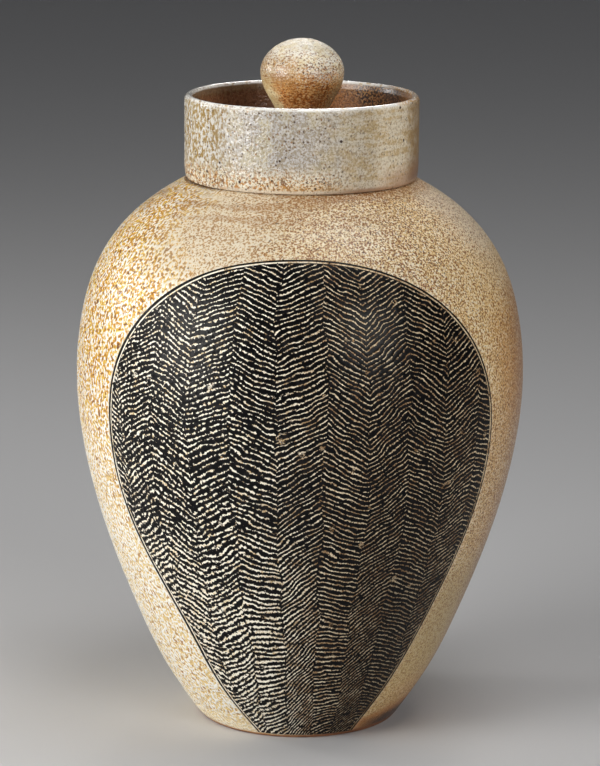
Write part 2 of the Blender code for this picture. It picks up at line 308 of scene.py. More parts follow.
class Graph:
    def __init__(self, tree):
        self.tree = tree
        self.geo = tree.bl_idname == 'GeometryNodeTree'
        self.cache = {}

    def put(self, socket, value):
        if isinstance(value, Val):
            self.tree.links.new(value.socket, socket)
        else:
            socket.default_value = value

    def new(self, kind):
        return self.tree.nodes.new(kind)

    def math(self, op, a, b=None, c=None, clamp=False):
        n = self.new('ShaderNodeMath')
        n.operation = op
        n.use_clamp = clamp
        for i, v in enumerate((a, b, c)):
            if v is not None:
                self.put(n.inputs[i], v)
        return Val(self, n.outputs[0])

    def vec(self, op, a, b=None, scale=None, out=0):
        n = self.new('ShaderNodeVectorMath')
        n.operation = op
        self.put(n.inputs[0], a)
        if b is not None:
            self.put(n.inputs[1], b)
        if scale is not None:
            self.put(n.inputs['Scale'], scale)
        return Val(self, n.outputs[out])

    def pos(self):
        """Place on the piece, in millimetres."""
        if 'pos' not in self.cache:
            if self.geo:
                raw = Val(self, self.new('GeometryNodeInputPosition').outputs[0])
            else:
                raw = Val(self, self.new('ShaderNodeTexCoord').outputs['Object'])
            self.cache['pos'] = self.vec('SCALE', raw, scale=1000.0)
            n = self.new('ShaderNodeSeparateXYZ')
            self.put(n.inputs[0], self.cache['pos'])
            self.cache['x'], self.cache['y'], self.cache['z'] = (Val(self, o) for o in n.outputs)
            rho = self.math('SQRT', self.cache['x'] * self.cache['x'] + self.cache['y'] * self.cache['y'])
            self.cache['rho'] = self.math('MAXIMUM', rho, 0.01)
            self.cache['side'] = self.cache['x'] / self.cache['rho']     # sin(theta)
            self.cache['front'] = -(self.cache['y'] / self.cache['rho'])  # cos(theta)
        return self.cache['pos']

    def __getattr__(self, name):
        if name in ('x', 'y', 'z', 'rho', 'side', 'front'):
            self.pos()
            return self.cache[name]
        raise AttributeError(name)

    def theta(self):
        """Degrees round the pot, 0 at the front, + to the right."""
        if 'theta' not in self.cache:
            self.pos()
            self.cache['theta'] = self.math('ARCTAN2', self.x, -self.y) * (180.0 / math.pi)
        return self.cache['theta']

    def attr(self, name):
        if self.geo:
            n = self.new('GeometryNodeInputNamedAttribute')
            n.data_type = 'FLOAT'
            n.inputs['Name'].default_value = name
            return Val(self, n.outputs['Attribute'])
        n = self.new('ShaderNodeAttribute')
        n.attribute_type = 'GEOMETRY'
        n.attribute_name = name
        return Val(self, n.outputs['Fac'])

    def noise(self, size, detail=0.0, rough=0.5, warp=0.0, seed=0, stretch=None, p=None):
        """Soft random field, about 0.5, whose lattice is size millimetres."""
        p = p or self.pos()
        if stretch:
            p = self.vec('MULTIPLY', p, stretch)
        if seed:
            p = self.vec('ADD', p, (37.13 * seed, 17.71 * seed, 71.37 * seed))
        n = self.new('ShaderNodeTexNoise')
        self.put(n.inputs['Vector'], p)
        n.inputs['Scale'].default_value = 1.0 / size
        n.inputs['Detail'].default_value = detail
        n.inputs['Roughness'].default_value = rough
        n.inputs['Distortion'].default_value = warp
        return Val(self, n.outputs[0])

    def cells(self, size, seed=0, randomness=1.0, p=None):
        """(distance to the nearest scattered point in cell sizes, its random number)."""
        p = p or self.pos()
        if seed:
            p = self.vec('ADD', p, (53.3 * seed, 91.7 * seed, 23.9 * seed))
        n = self.new('ShaderNodeTexVoronoi')
        self.put(n.inputs['Vector'], p)
        n.inputs['Scale'].default_value = 1.0 / size
        n.inputs['Randomness'].default_value = randomness
        s = self.new('ShaderNodeSeparateXYZ')
        self.tree.links.new(n.outputs['Color'], s.inputs[0])
        return Val(self, n.outputs['Distance']), Val(self, s.outputs[0])

    def ramp(self, x, a, b, lo=0.0, hi=1.0):
        """Smooth step of x from a (lo) to b (hi)."""
        n = self.new('ShaderNodeMapRange')
        n.interpolation_type = 'SMOOTHSTEP'
        self.put(n.inputs[0], x)
        self.put(n.inputs[1], a)
        self.put(n.inputs[2], b)
        self.put(n.inputs[3], lo)
        self.put(n.inputs[4], hi)
        return Val(self, n.outputs[0])

    def lerp(self, t, a, b):
        n = self.new('ShaderNodeMix')
        n.data_type = 'FLOAT'
        self.put(n.inputs[0], t)
        self.put(n.inputs[2], a)
        self.put(n.inputs[3], b)
        return Val(self, n.outputs[0])

    def blob(self, theta, r, z, inner, outer, wobble=0.0, size=9.0, seed=3):
        """1 near a place on the pot, 0 beyond outer millimetres."""
        a = math.radians(theta)
        d = self.vec('DISTANCE', self.pos(), (r * math.sin(a), -r * math.cos(a), z), out='Value')
        if wobble:
            d = d + (self.noise(size, 3.0, 0.6, seed=seed) - 0.5) * (2.0 * wobble)
        return self.ramp(d, outer, inner)

    # colours, in materials only
    def color(self, rgb):
        return srgb(*rgb)

    def tint(self, base, over, mask):
        n = self.new('ShaderNodeMix')
        n.data_type = 'RGBA'
        n.clamp_factor = True
        self.put(n.inputs[0], mask)
        self.put(n.inputs[6], base if isinstance(base, Val) else srgb(*base))
        self.put(n.inputs[7], over if isinstance(over, Val) else srgb(*over))
        return Val(self, n.outputs[2])

    def scale_color(self, base, factor):
        """Brightens or darkens a colour by a field."""
        return self.vec('SCALE', base, scale=factor)


def srgb(r, g, b):
    def lin(c):
        c /= 255.0
        return c / 12.92 if c <= 0.04045 else ((c + 0.055) / 1.055) ** 2.4
    return (lin(r), lin(g), lin(b), 1.0)


def sample(obj, **fields):
    """Values of node fields at the vertices of a mesh."""
    tree = bpy.data.node_groups.new("relief_" + obj.name, 'GeometryNodeTree')
    tree.interface.new_socket('Geometry', in_out='INPUT', socket_type='NodeSocketGeometry')
    tree.interface.new_socket('Geometry', in_out='OUTPUT', socket_type='NodeSocketGeometry')
    g = Graph(tree)
    last = g.new('NodeGroupInput').outputs[0]
    for name, field in fields.items():
        store = g.new('GeometryNodeStoreNamedAttribute')
        store.data_type = 'FLOAT'
        store.domain = 'POINT'
        store.inputs['Name'].default_value = "sampled_" + name
        g.put(store.inputs['Value'], field(g))
        tree.links.new(last, store.inputs['Geometry'])
        last = store.outputs['Geometry']
    tree.links.new(last, g.new('NodeGroupOutput').inputs[0])
    mod = obj.modifiers.new("relief", 'NODES')
    mod.node_group = tree
    bpy.context.view_layer.update()
    depsgraph = bpy.context.evaluated_depsgraph_get()
    mesh = obj.evaluated_get(depsgraph).data
    out = {}
    for name in fields:
        v = np.empty(len(mesh.vertices), np.float32)
        mesh.attributes["sampled_" + name].data.foreach_get("value", v)
        out[name] = v.astype(float)
    obj.modifiers.remove(mod)
    bpy.data.node_groups.remove(tree)
    return out


def material(name, slot_color, build):
    """build(g) -> dict(color=, rough=, bump=, coat=, spec=)."""
    mat = bpy.data.materials.new(name)
    mat.use_nodes = True
    tree = mat.node_tree
    shader = tree.nodes["Principled BSDF"]
    g = Graph(tree)
    look = build(g)
    g.put(shader.inputs["Base Color"], look["color"])
    g.put(shader.inputs["Roughness"], look["rough"])
    g.put(shader.inputs["Coat Weight"], look.get("coat", 0.0))
    shader.inputs["Coat Roughness"].default_value = look.get("coat_rough", 0.12)
    shader.inputs["Specular IOR Level"].default_value = look.get("spec", 0.5)
    if "bump" in look:
        bump = g.new('ShaderNodeBump')
        bump.inputs["Strength"].default_value = 1.0
        bump.inputs["Distance"].default_value = MM
        g.put(bump.inputs["Height"], look["bump"])
        tree.links.new(bump.outputs[0], shader.inputs["Normal"])
        tree.links.new(bump.outputs[0], shader.inputs["Coat Normal"])
    mat.diffuse_color = (*srgb(*slot_color)[:3], 1.0)
    return mat


# --------------------------------------------------------------------------
# Shared fields of the salt glaze
# --------------------------------------------------------------------------
def windward(g):
    """How strongly the salt vapour struck: 1 on the left (-X) side, 0 on the right."""
    if 'wind' not in g.cache:
        drift = (g.noise(38.0, 2.0, 0.5, seed=5) - 0.5) * 0.5
        neck = g.ramp(g.z, 226.0, 292.0) * g.ramp(g.z, 304.1, 303.9) * 0.52
        g.cache['wind'] = g.ramp(g.side + drift + neck, 0.12, -0.50)
    return g.cache['wind']


def peel_noise(g):
    """Orange peel of the glaze: wide beads on the windward side, fine ones elsewhere."""
    if 'peel' not in g.cache:
        wide = g.noise(1.52, 1.0, 0.42, warp=0.15, seed=1, stretch=(1.0, 1.0, 0.84))
        fine = g.noise(1.10, 1.2, 0.50, seed=9)
        g.cache['peel'] = g.lerp(g.ramp(windward(g), 0.30, 0.60), fine, wide)
    return g.cache['peel']


def body_relief(g):
    """Height of the glaze over its base, 0 to about 0.2 mm."""
    n = peel_noise(g)
    w = windward(g)
    shoulder = g.ramp(g.z, 262.0, 292.0)
    amount = g.lerp(w, 0.045, 0.27) * g.lerp(shoulder, 1.0, 0.7)
    beads = g.ramp(n, 0.36, 0.64)
    rings = (g.math('SINE', g.z * 0.92 + (g.noise(60.0, 1.0, seed=8) - 0.5) * 3.0)) * 0.012 + 0.012
    return beads * amount + rings


def panel_cuts(g):
    """(cut, light): how deep the slip is cut away, and a random field for its colour."""
    arc = g.attr("arc")
    d = g.attr("panel_d")
    th = g.theta()
    w = windward(g)
    n = peel_noise(g)
    hand = (g.noise(15.0, 1.0, 0.5, seed=11) - 0.5) * 5.0 + (g.noise(5.0, 1.0, 0.5, seed=12) - 0.5) * 2.0
    k = th / HATCH_COLUMN + 0.5 + (g.noise(42.0, 1.0, seed=13) - 0.5) * 0.5 \
        + (g.noise(9.0, 0.0, seed=22) - 0.5) * 0.16
    column = g.math('FLOOR', k)
    u = (k - column - 0.5) * (math.radians(HATCH_COLUMN)) * g.rho        # mm from the column's middle
    odd = g.math('PINGPONG', column, 1.0)
    lean = odd * 2.0 - 1.0
    offset = g.math('FRACT', g.math('SINE', column * 12.9898) * 43.7)
    slope = g.math('SINE', column * 7.1) * 0.12 + HATCH_SLOPE
    slack = g.ramp(g.side, -0.50, 0.60, 0.23, -0.08) * g.math('MAXIMUM', 195.0 - arc, 0.0)   # wider spacing low on the left
    phase = (arc + slack + hand + lean * slope * u) / HATCH_PITCH + offset
    line = g.math('PINGPONG', phase, 0.5) * 2.0                             # 0 and 1 half a pitch apart
    ragged = (n - 0.5) * g.lerp(w, 0.9, 2.15) + (g.noise(0.9, 1.0, seed=14) - 0.5) * 0.6
    duty = g.lerp(g.ramp(g.side, 0.30, -0.34), 0.790, 0.796) + (g.noise(24.0, 1.0, seed=23) - 0.5) * 0.22 \
        - g.ramp(g.z, 150.0, 80.0) * g.ramp(g.side, 0.50, -0.45, 0.03, 0.19)
    cut = g.ramp(line + ragged, duty - 0.08, duty + 0.12)
    # strokes break off, and some places stay uncut
    breaks = g.ramp(g.noise(3.2, 1.0, 0.5, seed=15, stretch=(1.0, 1.0, 1.6)), 0.30, 0.37)
    bare = g.ramp(g.noise(8.0, 1.5, 0.55, seed=16, stretch=(1.0, 1.0, 1.4)), 0.285, 0.315)
    merged = g.ramp(g.noise(7.0, 1.5, 0.5, seed=17), 0.70, 0.76) * g.ramp(g.noise(1.1, 1.0, seed=18), 0.42, 0.54)
    cut = g.math('MAXIMUM', cut * breaks, merged * 0.70) * bare
    # spine between two columns
    edge = g.math('PINGPONG', k, 0.5)                                       # 0 at a column's edge
    spine = g.ramp(edge * math.radians(HATCH_COLUMN) * g.rho
                   + (g.noise(3.6, 1.0, seed=19) - 0.42) * 3.0, 0.10, 0.50)
    cut = cut * spine
    # border: black edge, one cut line, black again, then the field
    inset = d - g.ramp(g.side, -0.40, -0.64) * 0.75
    field = g.ramp(inset + (g.noise(2.4, 1.0, seed=24) - 0.5) * 0.8, 2.25, 2.55)
    ring = g.ramp((inset - 1.50 + (g.noise(12.0, 1.0, seed=20) - 0.5) * 0.25).abs(), 0.52, 0.32)
    ring = ring * g.ramp(g.noise(2.6, 1.0, seed=21), 0.28, 0.38)
    return g.math('MAXIMUM', cut * field, ring), n


# --------------------------------------------------------------------------
# Materials
# --------------------------------------------------------------------------
def look_body(g):
    n = peel_noise(g)
    w = windward(g)
    z = g.z
    side = g.side
    fine = g.noise(0.8, 1.5, 0.5, seed=2)
    broad = g.noise(26.0, 2.5, 0.55, seed=4)
    mottle = g.noise(7.0, 2.0, 0.55, seed=6)

    # base of the sheltered side: cream to golden tan
    right = g.ramp(side + (broad - 0.5) * 0.3, 0.62, 0.95)
    low = g.ramp(z + (broad - 0.5) * 50.0, 130.0, 60.0)
    base = g.tint((224, 197, 144), (230, 211, 170), g.ramp(broad + (mottle - 0.5) * 0.5, 0.42, 0.62))
    base = g.tint(base, (220, 182, 122), g.ramp(mottle + (broad - 0.5), 0.50, 0.78) * 0.6)
    base = g.tint(base, (242, 207, 141), g.ramp(side + (broad - 0.5) * 0.4, 0.35, 0.85) * 0.75)
    base = g.tint(base, (212, 158, 78), g.ramp(side + (broad - 0.5) * 0.2, 0.76, 0.97) * g.ramp(z, 268.0, 228.0) * 0.85)
    smooth_low = g.ramp(side, 0.15, 0.55) * low
    base = g.tint(base, (204, 174, 110), smooth_low * 0.9)
    # flashes, and one painted highlight streak
    orange = g.blob(76.0, 122.0, 202.0, 6.0, 44.0, 12.0, size=14.0, seed=33)
    base = g.tint(base, (208, 142, 44), orange * 0.85)
    base = g.tint(base, (172, 112, 38), g.ramp(side, 0.90, 1.0) * g.ramp(z, 268.0, 236.0) * 0.75)
    # painted highlight: a pale streak high on the right, near the silhouette
    pale_streak_painted_highlight = g.blob(74.0, 104.0, 268.0, 4.0, 30.0, 8.0, size=18.0, seed=34)
    base = g.tint(base, (230, 214, 184), pale_streak_painted_highlight * 0.28)
    toe = g.blob(62.0, 68.0, 14.0, 6.0, 34.0, 10.0, size=10.0, seed=35)
    base = g.tint(base, (190, 126, 60), toe * 0.4)
    back = g.blob(165.0, 118.0, 120.0, 20.0, 95.0, 26.0, size=30.0, seed=36)
    base = g.tint(base, (200, 158, 104), back * 0.5)
    # peel: pale tops and golden hollows
    thick = g.ramp(side, -0.35, 0.45) * g.ramp(z, 200.0, 258.0) * g.lerp(right, 1.0, 0.25)
    n_dot = n + (fine - 0.5) * 0.14 + (mottle - 0.5) * 0.14
    quiet = right * g.ramp(z, 284.0, 264.0)
    calm = g.lerp(quiet, 1.0, 0.58) * g.lerp(orange, 1.0, 0.6) * g.lerp(low, 1.0, 0.7) * g.lerp(smooth_low, 1.0, 0.45)
    sparse = g.ramp(side, 0.10, 0.45)
    base = g.tint(base, (236, 208, 164), sparse * g.ramp(z, 236.0, 262.0) * 0.20)
    base = g.tint(base, g.tint((184, 124, 54), (174, 108, 46), sparse), g.ramp(n_dot, 0.51, 0.43) * calm * g.lerp(thick, 0.72, g.lerp(sparse, 0.56, 0.26)))
    base = g.tint(base, (250, 238, 214), g.ramp(n_dot, 0.53, 0.60) * calm * g.ramp(side, 0.05, 0.50, 0.62, 0.95))
    # painted highlight: a pale band along the right of the shoulder, where light from behind catches the edge
    outer = g.ramp(side + (broad - 0.5) * 0.2, 0.80, 0.95) * g.ramp(z + (mottle - 0.5) * 12.0, 262.0, 278.0) * g.ramp(z, 301.5, 298.0)
    base = g.tint(base, (228, 214, 192), outer * 0.55)
    # grains of iron, thickest on the front of the shoulder
    near, lot = g.cells(1.35, seed=6)
    grain = g.ramp(near + (fine - 0.5) * 0.22, g.lerp(thick, 0.36, 0.46), g.lerp(thick, 0.22, 0.30)) \
        * g.ramp(lot + (mottle - 0.5) * 0.9 - sparse * 0.12, g.lerp(thick, 0.40, 0.20), g.lerp(thick, 0.54, 0.34))
    base = g.tint(base, g.tint(g.tint((188, 130, 54), g.tint((154, 88, 28), (128, 56, 12), sparse), g.ramp(side, -0.45, 0.10)),
                                g.tint((136, 84, 32), (82, 42, 18), g.ramp(side, -0.50, -0.15)), g.ramp(lot, 0.52, 0.84)),
                  grain * g.lerp(quiet, 0.92, 0.60) * g.lerp(low, 1.0, 0.6) * g.lerp(smooth_low, 1.0, 0.45))
    base = g.tint(base, g.tint((160, 104, 40), (132, 78, 28), g.ramp(side, -0.50, -0.10)), g.ramp(n_dot, 0.425, 0.385) * g.lerp(low, 1.0, 0.7) * 0.85)
    dots, lot2 = g.cells(0.95, seed=11)
    dots = g.ramp(dots + (fine - 0.5) * 0.25, 0.44, 0.26) * g.ramp(lot2 + (mottle - 0.5) * 0.8, 0.50, 0.60)
    base = g.tint(base, (112, 54, 16), dots * thick * g.lerp(quiet, 0.88, 0.30))

    # windward side: white beads on a golden network
    pale = g.ramp(z + (broad - 0.5) * 90.0 + (mottle - 0.5) * 30.0, 208.0, 96.0)
    valley = g.tint((222, 166, 46), (238, 198, 84), g.ramp(mottle, 0.40, 0.62))
    valley = g.tint(valley, (243, 218, 156), pale * 0.85)
    beads = g.ramp(n + (fine - 0.5) * 0.14, g.lerp(pale, 0.490, 0.452), g.lerp(pale, 0.575, 0.540))
    wind = g.tint(valley, (255, 252, 243), beads)
    wind = g.tint(wind, (184, 116, 22), g.ramp(n, 0.420, 0.350) * g.lerp(pale, 0.90, 0.25))
    pits = g.ramp(n + (g.noise(3.3, 0.0, seed=7) - 0.5) * 0.42, 0.374, 0.318)
    wind = g.tint(wind, g.tint((116, 64, 16), (156, 96, 42), pale), pits * g.lerp(pale, 0.92, 0.70))
    wind = g.tint(wind, (244, 228, 188), g.ramp(z + (mottle - 0.5) * 10.0, 15.0, 4.0) * 0.55)
    base = g.tint(base, wind, w)

    # grey-white salt veil high on the front left, under the collar
    veil = g.blob(-30.0, 94.0, 284.0, 8.0, 56.0, 10.0, seed=31)
    base = g.tint(base, (218, 210, 192), veil * g.ramp(n, 0.42, 0.54) * 0.7)
    base = g.tint(base, (168, 134, 88), veil * g.ramp(n, 0.44, 0.38) * 0.5)
    haze = g.ramp(side + (broad - 0.5) * 0.5, -0.06, -0.34) * g.ramp(side, -0.95, -0.70) * g.ramp(z + (mottle - 0.5) * 20.0, 250.0, 275.0)
    base = g.tint(base, (234, 224, 204), haze * g.ramp(n_dot, 0.44, 0.56) * 0.62)
    base = g.tint(base, (144, 112, 72), haze * g.ramp(n_dot, 0.42, 0.36) * 0.46)
    base = g.tint(base, (222, 204, 172), haze * 0.20)
    # streaks drawn round the shoulder by the wheel
    streak = g.noise(5.0, 2.5, 0.6, seed=32, stretch=(0.09, 0.09, 1.0))
    drawn = g.ramp(z, 282.0, 296.0) * g.ramp(side, 0.75, 0.25) * g.ramp(n_dot, 0.60, 0.46, 0.5, 1.0)
    base = g.tint(base, (162, 116, 66), g.ramp(streak, 0.48, 0.57) * drawn * 0.58)
    base = g.tint(base, (228, 216, 192), g.ramp(streak, 0.44, 0.36) * drawn * 0.55)
    # brown flash in the groove and to its right
    groove = g.ramp(z + (mottle - 0.5) * 5.0, 297.5, 303.5)
    base = g.tint(base, (148, 98, 52), groove * g.ramp(side, -0.6, 0.5) * g.ramp(n_dot, 0.58, 0.44, 0.35, 0.85))
    # painted shade: a dark line in the crease under the left of the collar
    crevice_painted_shade = g.ramp(z + (mottle - 0.5) * 1.5, 302.6, 304.0) * g.ramp(side, -0.58, -0.82)
    base = g.tint(base, (70, 42, 24), crevice_painted_shade * 0.9)
    # toast climbing the foot: orange-brown towards the front right, and further right a dark brown that is partly burnt
    # clay and partly painted shade of the floor's shadow
    climb = z - g.ramp(side, 0.30, 1.0, 4.0, 12.5) + (mottle - 0.5) * 7.0 + (fine - 0.5) * 6.0
    base = g.tint(base, (184, 118, 54), g.ramp(climb, 7.0, 0.5) * g.ramp(side, 0.10, 0.45) * 0.80)
    base = g.tint(base, (58, 32, 14), g.ramp(climb, 2.6, -4.5) * g.ramp(side, 0.45, 0.80) * 0.95)
    # scattered dark specks
    dist, rnd = g.cells(6.5, seed=1)
    speck = g.ramp(dist, 0.075, 0.045) * g.ramp(rnd, 0.30, 0.32)
    base = g.tint(base, (84, 58, 38), speck * g.lerp(w, 0.85, 0.4))
    dist3, rnd3 = g.cells(4.2, seed=7)
    fleck = g.ramp(dist3 + (fine - 0.5) * 0.08, 0.170, 0.105) * g.ramp(rnd3, 0.50, 0.53) * g.ramp(z, 190.0, 240.0, 0.35, 1.0)
    base = g.tint(base, g.tint((92, 58, 30), (112, 100, 84), g.ramp(rnd3, 0.74, 0.76)), fleck * g.lerp(low, 0.85, 0.5))
    # smooth pale line of glaze along the panel
    d = g.attr("panel_d")
    rim = g.ramp((d + 0.70 + (g.noise(6.0, 1.0, seed=37) - 0.5) * 0.5).abs(), 1.05, 0.45)
    base = g.tint(base, (252, 244, 226), rim * g.lerp(w, 0.10, 0.40))
    # toasted line at the foot
    toast = g.ramp(z + (mottle - 0.5) * 1.6, g.ramp(side, -0.3, 0.4, 2.5, 3.6), g.ramp(side, -0.3, 0.4, 1.3, 1.9))
    base = g.tint(base, g.tint((196, 146, 92), (140, 84, 44), g.ramp(side, -0.5, 0.3)), toast)
    # painted light and shade over a fine random tone: lighter on the right from the belly up, on the right of the
    # shoulder, low on the left and just above the foot on the right; darker along the right silhouette, low on the
    # right and across the middle of the shoulder
    base = g.scale_color(base, 0.94 + (fine - 0.5) * 0.24 + g.ramp(side, 0.30, 0.72) * g.ramp(z, 120.0, 200.0) * 0.08
                         + g.ramp(side, 0.20, 0.50) * g.ramp(z, 262.0, 280.0) * 0.06
                         + g.ramp(side, -0.45, -0.80) * g.ramp(z, 200.0, 150.0) * 0.025
                         + g.ramp(side, 0.35, 0.60) * g.ramp(z, 36.0, 26.0) * g.ramp(z, 9.0, 16.0) * 0.06
                         - g.ramp(side, 0.86, 1.0) * g.ramp(z, 302.0, 272.0) * g.ramp(z, 60.0, 110.0) * 0.10
                         - g.ramp(side, 0.50, 0.85) * g.ramp(z, 125.0, 80.0) * g.ramp(z, 26.0, 64.0) * 0.17
                         - g.ramp(side, -0.35, -0.10) * g.ramp(side, 0.42, 0.12) * g.ramp(z, 240.0, 262.0) * 0.05)

    rough = g.lerp(w, 0.36, 0.17) + (mottle - 0.5) * 0.14 + g.ramp(n, 0.40, 0.32) * 0.20 + toast * 0.2
    bump = g.ramp(n, 0.36, 0.62) * g.lerp(w, 0.07, 0.13) + fine * 0.022 \
        + g.noise(0.42, 1.0, seed=38) * 0.008 - grain * 0.02
    return dict(color=base, rough=rough, bump=bump, coat=0.35, coat_rough=0.08)


def look_slip(g):
    cut, n = panel_cuts(g)
    w = windward(g)
    mottle = g.noise(6.0, 2.0, 0.55, seed=41)
    fine = g.noise(0.7, 1.5, 0.5, seed=42)
    slip = g.tint((8, 8, 9), (23, 24, 27), g.ramp(mottle, 0.50, 0.75))
    slip = g.tint(slip, (40, 28, 18), g.ramp(fine + (mottle - 0.5), 0.62, 0.82) * 0.4)
    # clay in the cut lines: paler on the left and darker tan on the right, painted light and shade of the key light
    # from the left
    clay_right_painted_shade = g.tint((234, 214, 180), (154, 122, 88), g.ramp(mottle + (fine - 0.5) * 0.8, 0.38, 0.66))
    # painted shade: the cut lines darker towards the lower right
    clay_right_painted_shade = g.scale_color(clay_right_painted_shade, 1.0 - g.ramp(g.side, 0.05, 0.55) * g.ramp(g.z, 170.0, 70.0) * 0.5)
    clay_left_painted_light = g.tint((252, 246, 230), (220, 196, 148), g.ramp(fine + (mottle - 0.5) * 0.8, 0.50, 0.72))
    clay = g.tint(clay_right_painted_shade, clay_left_painted_light, g.ramp(g.side + (mottle - 0.5) * 0.5, 0.30, -0.34))
    color = g.tint(slip, clay, cut)
    fringe = g.ramp((cut - 0.42).abs(), 0.40, 0.10) * g.ramp(fine, 0.46, 0.62)
    color = g.tint(color, (186, 136, 72), fringe * 0.5)
    skirt = g.ramp(g.attr("panel_d"), 0.02, -0.02)
    color = g.tint(color, (30, 28, 28), skirt)
    rough = g.lerp(cut, 0.30, 0.42) + (mottle - 0.5) * 0.20
    bump = fine * 0.02 + g.ramp(n, 0.36, 0.62) * g.lerp(w, 0.02, 0.07)
    return dict(color=color, rough=rough, bump=bump, spec=0.12, coat=0.015, coat_rough=0.12)


def collar_relief(g):
    n = peel_noise(g)
    streaky = g.noise(1.8, 1.0, 0.45, warp=0.25, seed=51, stretch=(1.0, 1.0, 0.72))
    w = windward(g)
    outside = g.ramp(g.rho, 61.0, 62.0)
    left = g.ramp(g.side, -0.55, -0.85)
    amount = g.lerp(w, 0.04, 0.11) + left * 0.07
    field = g.lerp(left, g.ramp(n, 0.38, 0.62), g.ramp(streaky, 0.40, 0.60))
    lip = g.ramp(g.z, 348.8, 346.5)
    rings = g.math('SINE', g.z * 1.15 + (g.noise(50.0, 1.0, seed=52) - 0.5) * 2.0) * 0.02 + 0.02
    return (field * amount * lip + rings) * g.lerp(outside, 0.35, 1.0)


